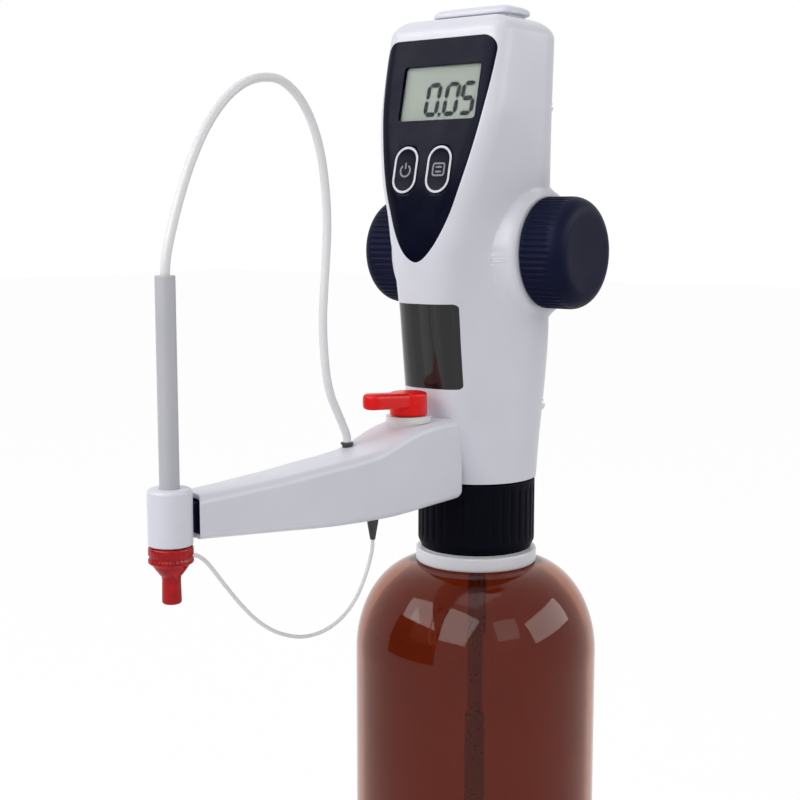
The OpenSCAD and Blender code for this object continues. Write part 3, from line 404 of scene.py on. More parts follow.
def metal(name, colour, rough):
    """Turned or drawn metal with fine streaks across its parts."""
    grain = 900.0
    s = Shader(name, Metallic=1.0)
    x, _, z = s.xyz()
    streak = s.streaks((x + z) * grain, 3.0)
    s.set(Base_Color=s.mix(colour, dimmed(colour, 0.8), streak),
          Roughness=s.remap(streak, 0.25, 0.75, rough - 0.06, rough + 0.1))
    s.bump(streak, 0.000006)
    return s.material


def amber_glass():
    """Brown bottle glass: tinted transmission, faint waviness and streaks of colour."""
    s = Shader("amber_glass", Roughness=0.03, IOR=1.3, Transmission_Weight=1.0)
    streak = s.noise(14.0, 3.0)
    s.set(Base_Color=s.mix(srgb(156, 92, 64), srgb(144, 80, 52), s.remap(streak, 0.3, 0.7, 0.0, 1.0)))
    s.bump(s.noise(38.0, 2.0), 0.00012)
    return s.material


def clear_glass(name, tint, rough, ior):
    """Clear glass with a faint smear of wiping."""
    s = Shader(name, IOR=ior, Transmission_Weight=1.0)
    smear = s.noise(120.0, 4.0, 0.6)
    s.set(Base_Color=s.mix(tint, dimmed(tint, 0.96), smear),
          Roughness=s.remap(smear, 0.4, 0.8, rough, rough + 0.05))
    return s.material


def smoked():
    """Smoked window moulding with faint drawn streaks from top to bottom."""
    s = Shader("smoked_window", IOR=1.49, Transmission_Weight=0.75, Specular_IOR_Level=0.2)
    streak = s.streaks(s.xyz()[0] * 230.0, 2.0)
    s.set(Base_Color=s.mix(srgb(40, 41, 44), srgb(92, 93, 95), s.remap(streak, 0.45, 0.75, 0.0, 1.0)),
          Roughness=s.remap(s.noise(160.0, 3.0), 0.3, 0.8, 0.06, 0.14))
    return s.material


def translucent(name, colour, shade, rough, transmission):
    """Milky fluoropolymer tube."""
    s = Shader(name, Transmission_Weight=transmission, IOR=1.38, Subsurface_Weight=0.15,
               Subsurface_Scale=0.002)
    cloud = s.noise(140.0, 3.0)
    s.set(Base_Color=s.mix(colour, shade, s.remap(cloud, 0.3, 0.7, 0.0, 1.0)),
          Roughness=s.remap(s.noise(420.0, 2.0), 0.3, 0.7, rough - 0.05, rough + 0.08))
    s.bump(s.noise(700.0, 2.0), 0.00001)
    return s.material


def red_cap():
    """Deep translucent red cap."""
    s = Shader("red_cap", Specular_IOR_Level=0.15, Coat_Weight=0.1, Coat_Roughness=0.1)
    cloud = s.noise(160.0, 3.0)
    s.set(Base_Color=s.mix(srgb(188, 14, 24), srgb(152, 6, 14), s.remap(cloud, 0.3, 0.7, 0.0, 1.0)),
          Roughness=s.remap(s.noise(300.0, 2.0), 0.3, 0.7, 0.14, 0.26))
    return s.material


def display_face():
    """Reflective liquid crystal cell: grey-green, cloudy, darker towards its left and right ends."""
    s = Shader("display_face", Specular_IOR_Level=0.2)
    edge = ((s.xyz()[0] - DISPLAY_X * MM).math("ABSOLUTE") - 0.015).math("MAXIMUM", 0.0) * 160.0
    cloud = s.noise(60.0, 2.0)
    s.set(Base_Color=s.mix(srgb(160, 167, 158), srgb(130, 137, 129), (edge + cloud * 0.5).clamp()),
          Roughness=s.remap(cloud, 0.3, 0.7, 0.35, 0.5))
    s.bump(s.noise(3200.0, 1.0), 0.000004)
    return s.material


def board_face():
    """Green laminate with copper tracks under the lacquer."""
    s = Shader("board_face", Coat_Weight=0.4, Coat_Roughness=0.15)
    tracks = s.node("ShaderNodeTexBrick", None, {
        "Vector": s.coords, "Scale": 260.0, "Mortar Size": 0.06})["Fac"]
    s.set(Base_Color=s.mix(srgb(18, 84, 48), srgb(70, 132, 62), tracks), Roughness=0.4)
    return s.material


def rubbery(name, colour, shade):
    """Matt rubber or cloth."""
    s = Shader(name)
    cloud = s.noise(200.0, 4.0, 0.6)
    s.set(Base_Color=s.mix(colour, shade, cloud), Roughness=s.remap(cloud, 0.3, 0.7, 0.5, 0.7))
    s.bump(s.noise(1500.0, 2.0), 0.00002)
    return s.material


WHITE = moulded("housing_plastic", srgb(228, 229, 238), srgb(220, 221, 232), 0.34)
NAVY = moulded("dark_plastic", srgb(18, 21, 48), srgb(12, 15, 37), 0.42, 1800.0, 0.000012, 0.05)
COLLAR = moulded("collar_plastic", srgb(6, 6, 20), srgb(4, 4, 14), 0.5, 1800.0, 0.000012, 0.04)
PANEL = moulded("panel_plastic", srgb(8, 10, 32), srgb(6, 7, 24), 0.3, 3200.0, 0.000004, 0.05)
ADAPTER = moulded("adapter_plastic", srgb(236, 237, 242), srgb(226, 228, 235), 0.3)
SLEEVE = moulded("sleeve_plastic", srgb(196, 196, 203), srgb(187, 187, 195), 0.45)
POLYMER = moulded("white_polymer", srgb(232, 232, 230), srgb(222, 222, 221), 0.3)
RED = moulded("red_plastic", srgb(240, 16, 16), srgb(230, 6, 10), 0.3, 2600.0, 0.000012, 0.2)
LEGEND = moulded("key_legend", srgb(214, 214, 222), srgb(196, 196, 206), 0.4)
FAINT = moulded("key_symbol", srgb(128, 128, 140), srgb(112, 112, 124), 0.45)
DIGIT = moulded("display_digit", srgb(40, 45, 48), srgb(32, 36, 40), 0.5, 1800.0, 0.000004, 0.1)
TRAY = moulded("tray_plastic", srgb(70, 72, 80), srgb(58, 60, 68), 0.45)
CELL = moulded("cell_sleeve", srgb(66, 78, 96), srgb(52, 62, 80), 0.28, 900.0, 0.000008, 0.5)
STEEL = metal("steel", (0.62, 0.63, 0.65, 1.0), 0.26)
BRASS = metal("brass", (0.78, 0.62, 0.32, 1.0), 0.28)
AMBER = amber_glass()
GLASS = clear_glass("clear_glass", (0.96, 0.99, 0.99, 1.0), 0.02, 1.49)
ANTIGLARE = clear_glass("antiglare_window", (0.97, 0.98, 0.98, 1.0), 0.05, 1.08)
SMOKED = smoked()
TUBE = moulded("tube_polymer", srgb(238, 238, 240), srgb(230, 231, 233), 0.4, 90.0, 0.000001)
INTAKE = translucent("intake_polymer", srgb(232, 234, 234), srgb(222, 224, 224), 0.3, 0.5)
CAP = red_cap()
LCD = display_face()
BOARD = board_face()
RUBBER = rubbery("rubber", srgb(48, 49, 53), srgb(38, 39, 43))


def paint(obj, material):
    obj.data.materials.clear()
    obj.data.materials.append(material)


def dress(obj, material, body, slot, *replaced):
    """Gives a new piece its finish and its body, and hides the nodes it stands for; slot is not used.
    """
    paint(obj, material)
    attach(obj, body)
    if replaced:
        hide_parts(*replaced)


# ---- housing form
# height, rear half width, front half width, front reach, rear reach, corner radii
STATIONS = np.array([
    [0, FOOT_R, FOOT_R, FOOT_R, FOOT_R, FOOT_R - 0.6, FOOT_R - 0.6],
    [8, HALF_W - 4.2, 22.5, 26.6, BODY_REAR + 1.6, 18, 23],
    [18, HALF_W - 3.2, 19.5, 30.2, BODY_REAR + 0.6, 15, 22],
    [28, HALF_W - 2.3, 17.5, 33.4, BODY_REAR + 0.2, 13.5, 21],
    [39, HALF_W - 1.3, 16.6, 36.2, BODY_REAR, 13, 20.5],
    [56, HALF_W - 0.2, 16, 39.2, BODY_REAR, 13, 20],
    [73, HALF_W, 15.6, 41.8, BODY_REAR, 13, 20],
    [89, HALF_W, 16.6, 43.2, BODY_REAR, 12.5, 20],
    [97, HALF_W - 0.1, 18.7, 42.9, BODY_REAR, 13, 20],
    [107, HALF_W - 0.2, 20.8, 42, BODY_REAR, 13, 20],
    [121, HALF_W - 0.2, 24.4, 39.8, BODY_REAR, 11.5, 20],
    [143, HALF_W, HALF_W - 1.3, 34.6, BODY_REAR, 9.5, 20],
    [160, HALF_W, HALF_W - 1, 30.7, BODY_REAR, 8.5, 19],
    [BODY_H, HALF_W, HALF_W - 1.1, 26.6, BODY_REAR, 8, 18]], dtype=float)
FINE_STATIONS = catmull(STATIONS, 40)
ROOF_INSET = 13.0
ARC_STEPS = 40


def section(h):
    return np.array([np.interp(h, FINE_STATIONS[:, 0], FINE_STATIONS[:, k]) for k in range(7)])


def half_outline(h, inset=0.0):
    """Right half of the section at height h, from the front centre to the rear centre: a front
    flat, the front corner's arc, the sloping side, the rear corner's arc and the rear flat. The
    arcs meet the side at the angle q where a line touches both circles."""
    _, wr, wf, yf, yr, rf, rb = section(h)
    front, rear = np.array([wf - rf, rf - yf]), np.array([wr - rb, yr - rb])
    gap = rear - front
    q = math.degrees(math.atan2(gap[1], gap[0])) - math.degrees(math.acos((rf - rb) / np.hypot(*gap)))
    a = arc(*front, rf - inset, -90, q, ARC_STEPS)
    b = arc(*rear, rb - inset, q, 90, ARC_STEPS)
    side = a[-1] + np.linspace(0, 1, ARC_STEPS)[1:-1, None] * (b[0] - a[-1])
    first = np.stack([np.linspace(0, a[0][0], 12)[:-1], np.full(11, a[0][1])], axis=-1)
    last = np.stack([np.linspace(b[-1][0], 0, 12)[1:], np.full(11, b[-1][1])], axis=-1)
    return np.concatenate([first, a, side, b, last])


def run_length(line):
    return np.concatenate([[0], np.cumsum(np.hypot(*np.diff(line, axis=0).T))])


def stretch(line, s0, s1, n):
    """n points of the line, evenly spread between run lengths s0 and s1."""
    s = run_length(line)
    t = np.linspace(s0, s1, n)
    return np.stack([np.interp(t, s, line[:, 0]), np.interp(t, s, line[:, 1])], axis=-1)


def where_x(line, x):
    """Run length at which the line's front first reaches x."""
    return float(np.interp(x, np.maximum.accumulate(line[:, 0]), run_length(line)))


def where_y(line, y):
    return float(np.interp(y, np.maximum.accumulate(line[:, 1]), run_length(line)))


def panel_half(h):
    """Half width of the dark panel: a pointed arch with rounded top corners."""
    t = np.clip((h - PANEL_TIP) / (PANEL_TOP - PANEL_TIP), 0, 1)
    w = PANEL_HALF_W * (1 - (1 - t) ** 2) ** (0.58 + 0.3 * t)
    c = h - PANEL_TOP + PANEL_CORNER
    return w if c <= 0 else w - PANEL_CORNER + math.sqrt(max(0.0, PANEL_CORNER ** 2 - c * c))


WINDOW_CORNER = 1.6


def window_half(h):
    c = max(WINDOW_LOW + WINDOW_CORNER - h, h - WINDOW_HIGH + WINDOW_CORNER, 0.0)
    return WINDOW_HALF - WINDOW_CORNER + math.sqrt(max(0.0, WINDOW_CORNER ** 2 - c * c))


def opening_half(h):
    """Half width of the front strip that the side grids leave: the window, the panel, and the
    stretches of skin between and beyond them."""
    if h <= WINDOW_LOW:
        return WINDOW_HALF - WINDOW_CORNER
    if h <= WINDOW_HIGH:
        return window_half(h)
    if h <= PANEL_TIP:
        return (WINDOW_HALF - WINDOW_CORNER) * (PANEL_TIP - h) / (PANEL_TIP - WINDOW_HIGH)
    if h <= PANEL_TOP:
        return panel_half(h)
    return panel_half(PANEL_TOP)


def eased(a, b, n, both=True):
    """Heights from a to b, closer together at both ends, or only at the start."""
    t = np.linspace(0, 1, n)
    return a + (b - a) * ((1 - np.cos(np.pi * t)) / 2 if both else 1 - np.cos(np.pi / 2 * t))


# Heights of the shells' rows: below, at and above the window, at the panel and at the rim. They
# lie close together where a corner of the window or the panel's tip and corners need them.
BODY_ROWS = np.unique(np.round(np.concatenate([
    eased(0, WINDOW_LOW, 26),
    WINDOW_LOW + WINDOW_CORNER * (1 - np.cos(np.linspace(0, np.pi / 2, 7))),
    np.linspace(WINDOW_LOW + WINDOW_CORNER, WINDOW_HIGH - WINDOW_CORNER, 18)[1:-1],
    WINDOW_HIGH - WINDOW_CORNER * (1 - np.cos(np.linspace(np.pi / 2, 0, 7))),
    eased(WINDOW_HIGH, PANEL_TIP, 12),
    PANEL_TIP + (PANEL_TOP - PANEL_CORNER - PANEL_TIP) * np.linspace(0, 1, 64) ** 1.7,
    PANEL_TOP - PANEL_CORNER * (1 - np.sin(np.linspace(0, np.pi / 2, 14)))[1:],
    [PANEL_TOP, BODY_H]]), 6))
NEAR = 1e-6
FLARE_W, FLARE_L, FLARE_BLEND, FLARE_FROM, FLARE_FULL = 4.0, 8.0, 0.9, 13.0, 21.0


def rows_between(low, high):
    return [h for h in BODY_ROWS if low - NEAR <= h <= high + NEAR]


def flared(points):
    """Draws the side's skin out to the flat round boss behind each handwheel. At distance r from
    the shaft the boss's surface lies at x = BOSS_X - L (1 - sqrt(1 - u^2)), u = (r - BOSS_R) / W,
    and the skin takes a smooth maximum of that and its own x, up to BOSS_X. The boss fades in over
    the skin's own x from FLARE_FROM to FLARE_FULL, so the front and the rear face stay as they are."""
    r = np.hypot(points[..., 1] - PARTING_Y, points[..., 2] - SHAFT_Z)
    u = np.clip((r - BOSS_R) / FLARE_W, 0, 1)
    boss = BOSS_X - FLARE_L * (1 - np.sqrt(1 - u ** 2))
    x = points[..., 0]
    k = np.maximum(FLARE_BLEND * np.clip((BOSS_R + FLARE_W - r) / FLARE_W, 0, 1), NEAR)
    d = np.clip(0.5 + 0.5 * (boss - x) / k, 0, 1)
    merged = x + (boss - x) * d + k * d * (1 - d)
    merged = np.minimum(merged, np.maximum(x, BOSS_X))
    side = np.clip((x - FLARE_FROM) / (FLARE_FULL - FLARE_FROM), 0, 1)
    rise = np.where(r < BOSS_R + FLARE_W, np.maximum(merged - x, 0), 0)
    out = points.copy()
    out[..., 0] = x + rise * side * side * (3 - 2 * side)
    return out


def side_grid(part, n):
    """Rows up one side of a shell. part is "front", from the opening to the parting plane, or
    "rear", from there to the rear centre."""
    rows = []
    for h in BODY_ROWS:
        line = half_outline(h)
        seam = where_y(line, PARTING_Y)
        if part == "front":
            xy = stretch(line, where_x(line, opening_half(h)), seam, n)
        else:
            xy = stretch(line, seam, run_length(line)[-1], n)
        rows.append(raised(xy, BASE_Z + h))
    return flared(np.array(rows))


def front_strip(heights, n=24):
    """Front skin between the side grids over a range of heights."""
    rows = []
    for h in heights:
        line = half_outline(h)
        right = stretch(line, 0, where_x(line, opening_half(h)), n + 1)
        rows.append(raised(both_sides(right), BASE_Z + h))
    return np.array(rows)


def roof_height(xy):
    """Height of the crowned roof: an elliptic rise over the first ROOF_INSET mm inside the edge,
    by the distance d of each point from the nearest stretch of the edge."""
    line = half_outline(BODY_H)
    start, along = line[:-1], np.diff(line, axis=0)
    gap = xy[..., None, :] - start
    share = np.clip((gap * along).sum(-1) / (along ** 2).sum(-1), 0, 1)
    d = np.sqrt(((gap - share[..., None] * along) ** 2).sum(-1)).min(-1)
    d[0] = 0
    return BASE_Z + BODY_H + ROOF_H * np.sqrt(1 - (1 - np.minimum(d, ROOF_INSET) / ROOF_INSET) ** 2)


def roof_grid(outer, edge, rows=22):
    """Roof from the rim points outer in to the battery opening's edge, spaced along the edge by
    the rim's run length and closer together near the rim."""
    share = run_length(outer) / run_length(outer)[-1]
    s = run_length(edge)
    inner = np.stack([np.interp(share * s[-1], s, edge[:, k]) for k in (0, 1)], axis=-1)
    t = 1 - np.cos(np.linspace(0, np.pi / 2, rows))
    xy = outer[None] + (inner - outer)[None] * t[:, None, None]
    return np.concatenate([xy, roof_height(xy)[..., None]], axis=-1)


def front_roof(n):
    line = half_outline(BODY_H)
    first = where_x(line, opening_half(BODY_H))
    outer = np.concatenate([stretch(line, 0, first, 25)[:-1],
                            stretch(line, first, where_y(line, PARTING_Y), n)])
    corner = arc(BAY_HALF - BAY_CORNER, BAY_Y0 + BAY_CORNER, BAY_CORNER, -90, 0)
    return roof_grid(outer, np.concatenate([[[0, BAY_Y0]], corner, [[BAY_HALF, PARTING_Y]]]))


def rear_roof(n):
    line = half_outline(BODY_H)
    outer = stretch(line, where_y(line, PARTING_Y), run_length(line)[-1], n)
    back = BAY_Y0 + BAY_D
    corner = arc(BAY_HALF - BAY_CORNER, back - BAY_CORNER, BAY_CORNER, 0, 90)
    return roof_grid(outer, np.concatenate([[[BAY_HALF, PARTING_Y]], corner, [[0, back]]]))


SIDE_N, REAR_N = 64, 56
SHELL_EDGE = 0.22


def housing_front():
    """The front shell, with openings for the window, the panel and the battery bay."""
    made = Build()
    made.mirrored(side_grid("front", SIDE_N))
    made.mirrored(front_roof(SIDE_N))
    for low, high in ((0, WINDOW_LOW), (WINDOW_HIGH, PANEL_TIP), (PANEL_TOP, BODY_H)):
        made.grid(front_strip(rows_between(low, high)))
    shell = solidify(made.object("front_shell"), SHELL_WALL)
    return sharpen(bevel(shell, SHELL_EDGE))


def turned(name, profile, x, z):
    """A surface of revolution about a line along Y at x, z, from profile points (r, y)."""
    made = Build()
    made.grid(revolved(profile, (z, x), 40)[..., [1, 2, 0]], wrap=True)
    return made.object(name)


def housing_rear():
    """The rear shell, with a round well down to each of the four screws."""
    made = Build()
    made.mirrored(side_grid("rear", REAR_N))
    made.mirrored(rear_roof(REAR_N))
    shell = solidify(made.object("rear_shell"), SHELL_WALL)
    drill = [[AXIS, SCREW_SEAT_Y], [SCREW_WELL_R, SCREW_SEAT_Y], [SCREW_WELL_R, 40], [AXIS, 40]]
    wells = [(x, h) for x in (-SCREW_X, SCREW_X) for h in SCREW_HEIGHTS]
    drills = [turned("drill", drill, x, BASE_Z + h) for x, h in wells]
    return sharpen(bevel(cut(shell, *drills), SHELL_EDGE))


def screw_boss(name, x, h):
    """A tube from the parting plane back to the skin, trimmed by the body's section there."""
    hole, well, foot = SCREW_HOLE_R, SCREW_WELL_R + 0.05, PARTING_Y + 0.3
    tube = turned(name, [[hole, foot], [SCREW_BOSS_R, foot], [SCREW_BOSS_R, 30], [well, 30],
                         [well, SCREW_SEAT_Y], [hole, SCREW_SEAT_Y], [hole, foot]], x, BASE_Z + h)
    right = half_outline(h, 0.8)
    body = prism(np.concatenate([right, right[-2:0:-1] * [-1, 1]]), BASE_Z + h - 5, BASE_Z + h + 5)
    return sharpen(cut(tube, body.object("body", merge=0), keep="INTERSECT"))


dress(housing_front(), WHITE, "head", "housing_plastic", "housing_front")
dress(housing_rear(), WHITE, "head", "housing_plastic", "housing_rear")
for side in (-1, 1):
    for level, h in zip(("low", "high"), SCREW_HEIGHTS):
        piece = "screw_boss_%s_%s" % ("right" if side > 0 else "left", level)
        dress(screw_boss(piece, side * SCREW_X, h), WHITE, "head", "housing_plastic")


# ---- panel, display and keys
PANEL_TILT = math.atan(0.23)


def on_panel(points, x, h):
    """Points of a flat drawing (x right, y up, z out of the panel) placed on the panel."""
    p = np.asarray(points, dtype=float)
    s, c = math.sin(PANEL_TILT), math.cos(PANEL_TILT)
    return np.stack([x + p[..., 0], -section(h)[3] + p[..., 1] * s - p[..., 2] * c,
                     BASE_Z + h + p[..., 1] * c + p[..., 2] * s], axis=-1)


def panel_prism(name, outline, z0, z1, x, h):
    made = prism(outline, z0, z1)
    made.verts = [on_panel(v, x, h) for v in made.verts]
    return made.object(name, merge=0, smooth=False)


def skin_sheet(heights, half, d0, d1, n=36):
    """A closed sheet that follows the front skin, from depth d0 to depth d1 under it. half(h) is
    its half width at height h. Strips of quads close its lower and upper end."""
    rows = []
    for h in heights:
        ring = []
        for depth, way in ((d0, 1), (d1, -1)):
            line = half_outline(h, depth)
            right = stretch(line, 0, where_x(line, max(half(h), 0.02)), n + 1)
            ring.append(both_sides(right)[::way])
        rows.append(raised(np.concatenate(ring), BASE_Z + h))
    points = np.array(rows)
    made = Build()
    made.grid(points, wrap=True)
    m = 2 * n + 1
    last = (len(points) - 1) * 2 * m
    for base, way in ((0, -1), (last, 1)):
        made.faces.extend([base + j, base + j + 1, base + 2 * m - 2 - j, base + 2 * m - 1 - j][::way]
                          for j in range(m - 1))
    return made


def on_display(name, gap, r, z0, z1):
    """A plate as large as the display's opening less the gap, from z0 to z1 off the panel."""
    outline = rounded_rect(DISPLAY_W - gap, DISPLAY_H - gap, r)
    return panel_prism(name, outline, z0, z1, DISPLAY_X, DISPLAY_UP)


PANEL_GAP, WINDOW_GAP, WINDOW_FACE, WINDOW_BACK, CUT_DEPTH = 0.14, 0.1, 0.15, 1.8, 6.0


def front_panel():
    """The dark panel, from just above its tip, with openings for the display and the keys."""
    heights = [h for h in BODY_ROWS if PANEL_TIP + 0.02 <= h <= PANEL_TOP + NEAR]
    panel = skin_sheet(heights, lambda h: panel_half(h) - PANEL_GAP, 0.0, PANEL_T)
    panel = panel.object("front_panel_face")
    window = on_display("cutter", 0, 1.5, -CUT_DEPTH, CUT_DEPTH)
    keys = [panel_prism("cutter", oval(KEY_W, KEY_H), -CUT_DEPTH, CUT_DEPTH, x, KEY_UP)
            for x in (-KEY_X, KEY_X)]
    return sharpen(bevel(cut(panel, window, *keys), 0.12))


dress(front_panel(), PANEL, "head", "panel_plastic", "front_panel")
window = skin_sheet(rows_between(WINDOW_LOW, WINDOW_HIGH), lambda h: window_half(h) - WINDOW_GAP,
                    WINDOW_FACE, WINDOW_BACK).object("window_cover")
dress(sharpen(bevel(window, 0.15)), SMOKED, "head", "smoked_plastic", "inspection_window")
dress(on_display("display_cover", 0.3, 1.4, -1.4, -0.9), ANTIGLARE, "head", "clear_glass",
      "display_window")
dress(on_display("display_cell", 0.2, 1.4, -3.3, -1.7), LCD, "head", "display", "lcd_module")
paint(nodes["circuit_board"], BOARD)

# Seven-segment figures: the segments lit in each digit, in the order top, upper right, lower
# right, bottom, lower left, upper left, middle
LIT = {"0": "1111110", "5": "1011011"}
DIGIT_W, DIGIT_H, DIGIT_T, SEGMENT, SEGMENT_GAP, SLANT = 5.2, 11.6, 0.06, 1.9, 0.18, 0.08
LCD_Z = -1.68       # the figures' plane, measured out from the panel


def segment(a, b):
    """A bar from a to b with pointed ends."""
    a, b = np.array(a, float), np.array(b, float)
    along = (b - a) / np.hypot(*(b - a))
    side = np.array([-along[1], along[0]]) * SEGMENT / 2
    a, b = a + along * SEGMENT_GAP, b - along * SEGMENT_GAP
    tip = along * SEGMENT / 2
    return np.array([a, a + tip - side, b - tip - side, b, b - tip + side, a + tip + side])


def digit(figure, x0, y0):
    """Outlines of one figure's lit segments, leaning to the right."""
    w, h = DIGIT_W, DIGIT_H
    ends = [((0, h), (w, h)), ((w, h / 2), (w, h)), ((w, 0), (w, h / 2)), ((0, 0), (w, 0)),
            ((0, 0), (0, h / 2)), ((0, h / 2), (0, h)), ((0, h / 2), (w, h / 2))]
    shapes = [segment(*e) for e, lit in zip(ends, LIT[figure]) if lit == "1"]
    return [s + [x0, y0] + np.outer(s[:, 1] * SLANT, [1, 0]) for s in shapes]


def display_digits():
    """The figures 0.05 as thin bars just over the cell."""
    made = Build()
    low = -8.2
    shapes = digit("0", -6.6, low) + digit("0", 2.2, low) + digit("5", 9.7, low)
    dot = np.array([[-0.4, low - 0.9], [1.1, low - 0.9], [1.2, low + 0.6], [-0.3, low + 0.6]])
    for shape in shapes + [dot]:
        bar = prism(shape, LCD_Z, LCD_Z + DIGIT_T)
        made.add(on_panel(np.concatenate(bar.verts), DISPLAY_X, DISPLAY_UP), bar.faces)
    return made.object("display_figures", merge=0, smooth=False)


dress(display_digits(), DIGIT, "head", "dark_plastic")


KEY_GAP, RING_GAP, RING_W, SYMBOL_W = 0.6, 0.9, 1.0, 0.7


def key_object(name, rings, x):
    made = Build()
    made.grid(on_panel(np.array(rings), x, KEY_UP), wrap=True)
    return made.object(name)


def key_body(name, x):
    """An oval key with a rounded edge and a gently dished face, from rings of (scale, height)."""
    w, h = KEY_W - KEY_GAP, KEY_H - KEY_GAP
    rings = [raised(oval(w * scale, h - w * (1 - scale), 24), z) for scale, z in (
        (1.0, -1.9), (1.0, -0.1), (0.985, 0.08), (0.95, 0.18), (0.88, 0.16), (0.75, 0.05),
        (0.55, -0.06), (0.3, -0.12), (0.02, -0.14))]
    return key_object(name, rings, x)


def key_ring(name, x):
    """A raised oval ring: a half-round bead that follows the key's edge."""
    rings = []
    for a in np.linspace(0, math.pi, 9):
        slim = RING_GAP + RING_W * (1 - math.cos(a))
        rings.append(raised(oval(KEY_W - slim, KEY_H - slim, 32), 0.08 + 0.16 * math.sin(a)))
    return key_object(name, rings, x)


def stroke(line, width, z0, z1, closed):
    """A flat bar of that width along a line of points."""
    line = np.asarray(line, float)
    ahead = np.roll(line, -1, 0) if closed else np.vstack([line[1:], line[-1:]])
    behind = np.roll(line, 1, 0) if closed else np.vstack([line[:1], line[:-1]])
    along = ahead - behind
    along /= np.hypot(*along.T)[:, None]
    side = np.stack([-along[:, 1], along[:, 0]], -1) * width / 2
    return np.array([raised(line + side * k, z) for k, z in ((1, z0), (1, z1), (-1, z1), (-1, z0))])


def key_symbol(name, x, lines):
    made = Build()
    for line, closed in lines:
        rows = stroke(line, SYMBOL_W, -0.14, 0.02, closed)
        made.grid(on_panel(rows, x, KEY_UP), wrap=closed)
    return made.object(name, merge=0, smooth=False)


power_lines = [(arc(0, -0.3, 2.3, 125, 415, 20), False), ([[0, 0.4], [0, 2.9]], False)]
clear_lines = [(rounded_rect(5.2, 4.6, 0.8), True), ([[-1.4, 0.9], [1.4, 0.9]], False),
               ([[-1.4, -0.9], [1.4, -0.9]], False)]
for key, x, lines in (("key_power", -KEY_X, power_lines), ("key_clear", KEY_X, clear_lines)):
    dress(key_body(key + "_cap", x), PANEL, key, "panel_plastic", key)
    dress(key_ring(key + "_ring", x), LEGEND, key, "housing_plastic")
    dress(key_symbol(key + "_symbol", x, lines), FAINT, key, "housing_plastic")


# ---- lid
def battery_lid():
    """A crowned slab over a narrower step, so a dark line runs under its edge, and a plug below."""
    mid = np.array([0, BAY_Y0 + LID_D / 2])
    profile = [(2.0, -LID_STEP), (2.0, 0.0), (0.4, 0.0), (0.0, 0.35), (0.0, 0.9)]
    profile += [(LID_CROWN * (1 - math.cos(a)), 1 + (LID_T - 1) * math.sin(a))
                for a in np.linspace(0.1, math.pi / 2, 14)]
    profile += [(8.5, LID_T), (9.95, LID_T)]
    rings = [raised(rounded_rect(LID_W - 2 * inset, LID_D - 2 * inset,
                                 max(LID_CORNER - inset, 0.02), 10) + mid, LID_Z + z)
             for inset, z in profile]
    made = Build()
    made.grid(np.array(rings), wrap=True)
    made.fill(rings[0][::-1])
    made.join(prism(rounded_rect(2 * BAY_HALF - 2.4, BAY_D - 2.6, 1.0) + [0, BAY_Y],
                    LID_Z - LID_STEP - 4.5, LID_Z - 0.2))
    return sharpen(made.object("lid_shell"), 40)


dress(battery_lid(), WHITE, "battery_lid", "housing_plastic", "battery_lid")


def battery_tray():
    """An open box under the roof's opening."""
    rows = [raised(rounded_rect(2 * BAY_HALF + 2 - 2 * inset, BAY_D - 2 * inset, BAY_CORNER, 4)
                   + np.array([0, BAY_Y]), BAY_FLOOR + z)
            for inset, z in ((0.1, 0), (0.1, TRAY_H), (1.2, TRAY_H), (1.2, 1.2))]
    made = Build()
    made.grid(np.array(rows), wrap=True)
    made.fill(rows[0][::-1])
    made.fill(rows[-1])
    return sharpen(made.object("tray_box"), 40)


def battery_cells():
    """Two cells side by side, each a drawn can with rolled edges and a raised pole."""
    r, pole = CELL_D / 2, CELL_L - 0.4
    can = [[AXIS, 0], [r - 0.6, 0], [r, 0.6], [r, CELL_L - 2], [r - 0.6, CELL_L - 1.4],
           [1.6, CELL_L - 1.4], [1.6, pole], [AXIS, pole]]
    made = Build()
    for row, way in ((-0.5, 1), (0.5, -1)):
        points = revolved(can, (BAY_Y + row * CELL_D, BAY_FLOOR + 1.25 + r), 40)[..., [2, 0, 1]]
        points[..., 0] = way * (points[..., 0] - CELL_L / 2)
        made.grid(points, wrap=True, flip=way < 0)
    return sharpen(made.object("cell_pair"), 40)


def cell_contacts():
    """A sprung strip at each end of the cells."""
    made = Build()
    for side in (-1, 1):
        x0, x1 = side * (CELL_L / 2 + 0.35) - 0.2, side * (CELL_L / 2 + 0.35) + 0.2
        y0, y1 = BAY_Y0 + 2, BAY_Y0 + BAY_D - 2
        made.join(prism([[x0, y0], [x1, y0], [x1, y1], [x0, y1]], BAY_FLOOR + 1.3, BAY_FLOOR + 10))
    return made.object("contact_strips", merge=0, smooth=False)


dress(battery_tray(), TRAY, "head", "dark_plastic", "battery_tray")
dress(battery_cells(), CELL, "head", "cell_metal", "battery_cells")
dress(cell_contacts(), STEEL, "head", "steel", "battery_contacts")


# ---- arm and nozzle
# distance from the axis, height of the underside, height of the top
ARM_STATIONS = np.array([
    [ARM_ROOT, -4.4, 26.4], [ARM_FULL, -4.7, 27.3], [33, -4.8, 27.6], [ARM_TAPER, -4.9, 27.5],
    [54, -5.2, 26.6],
    [62, -5.4, 25], [70, -5.4, 22.8], [78, -5.1, 20.8], [88, -4.5, 19.9], [105, -3.2, 19.3],
    [125, -1, 18.6], [145, 1.2, 18.2], [161.2, 3, 18.1], [ARM_END, 3.8, 18.1]], dtype=float)
FINE_ARM = catmull(ARM_STATIONS, 20)


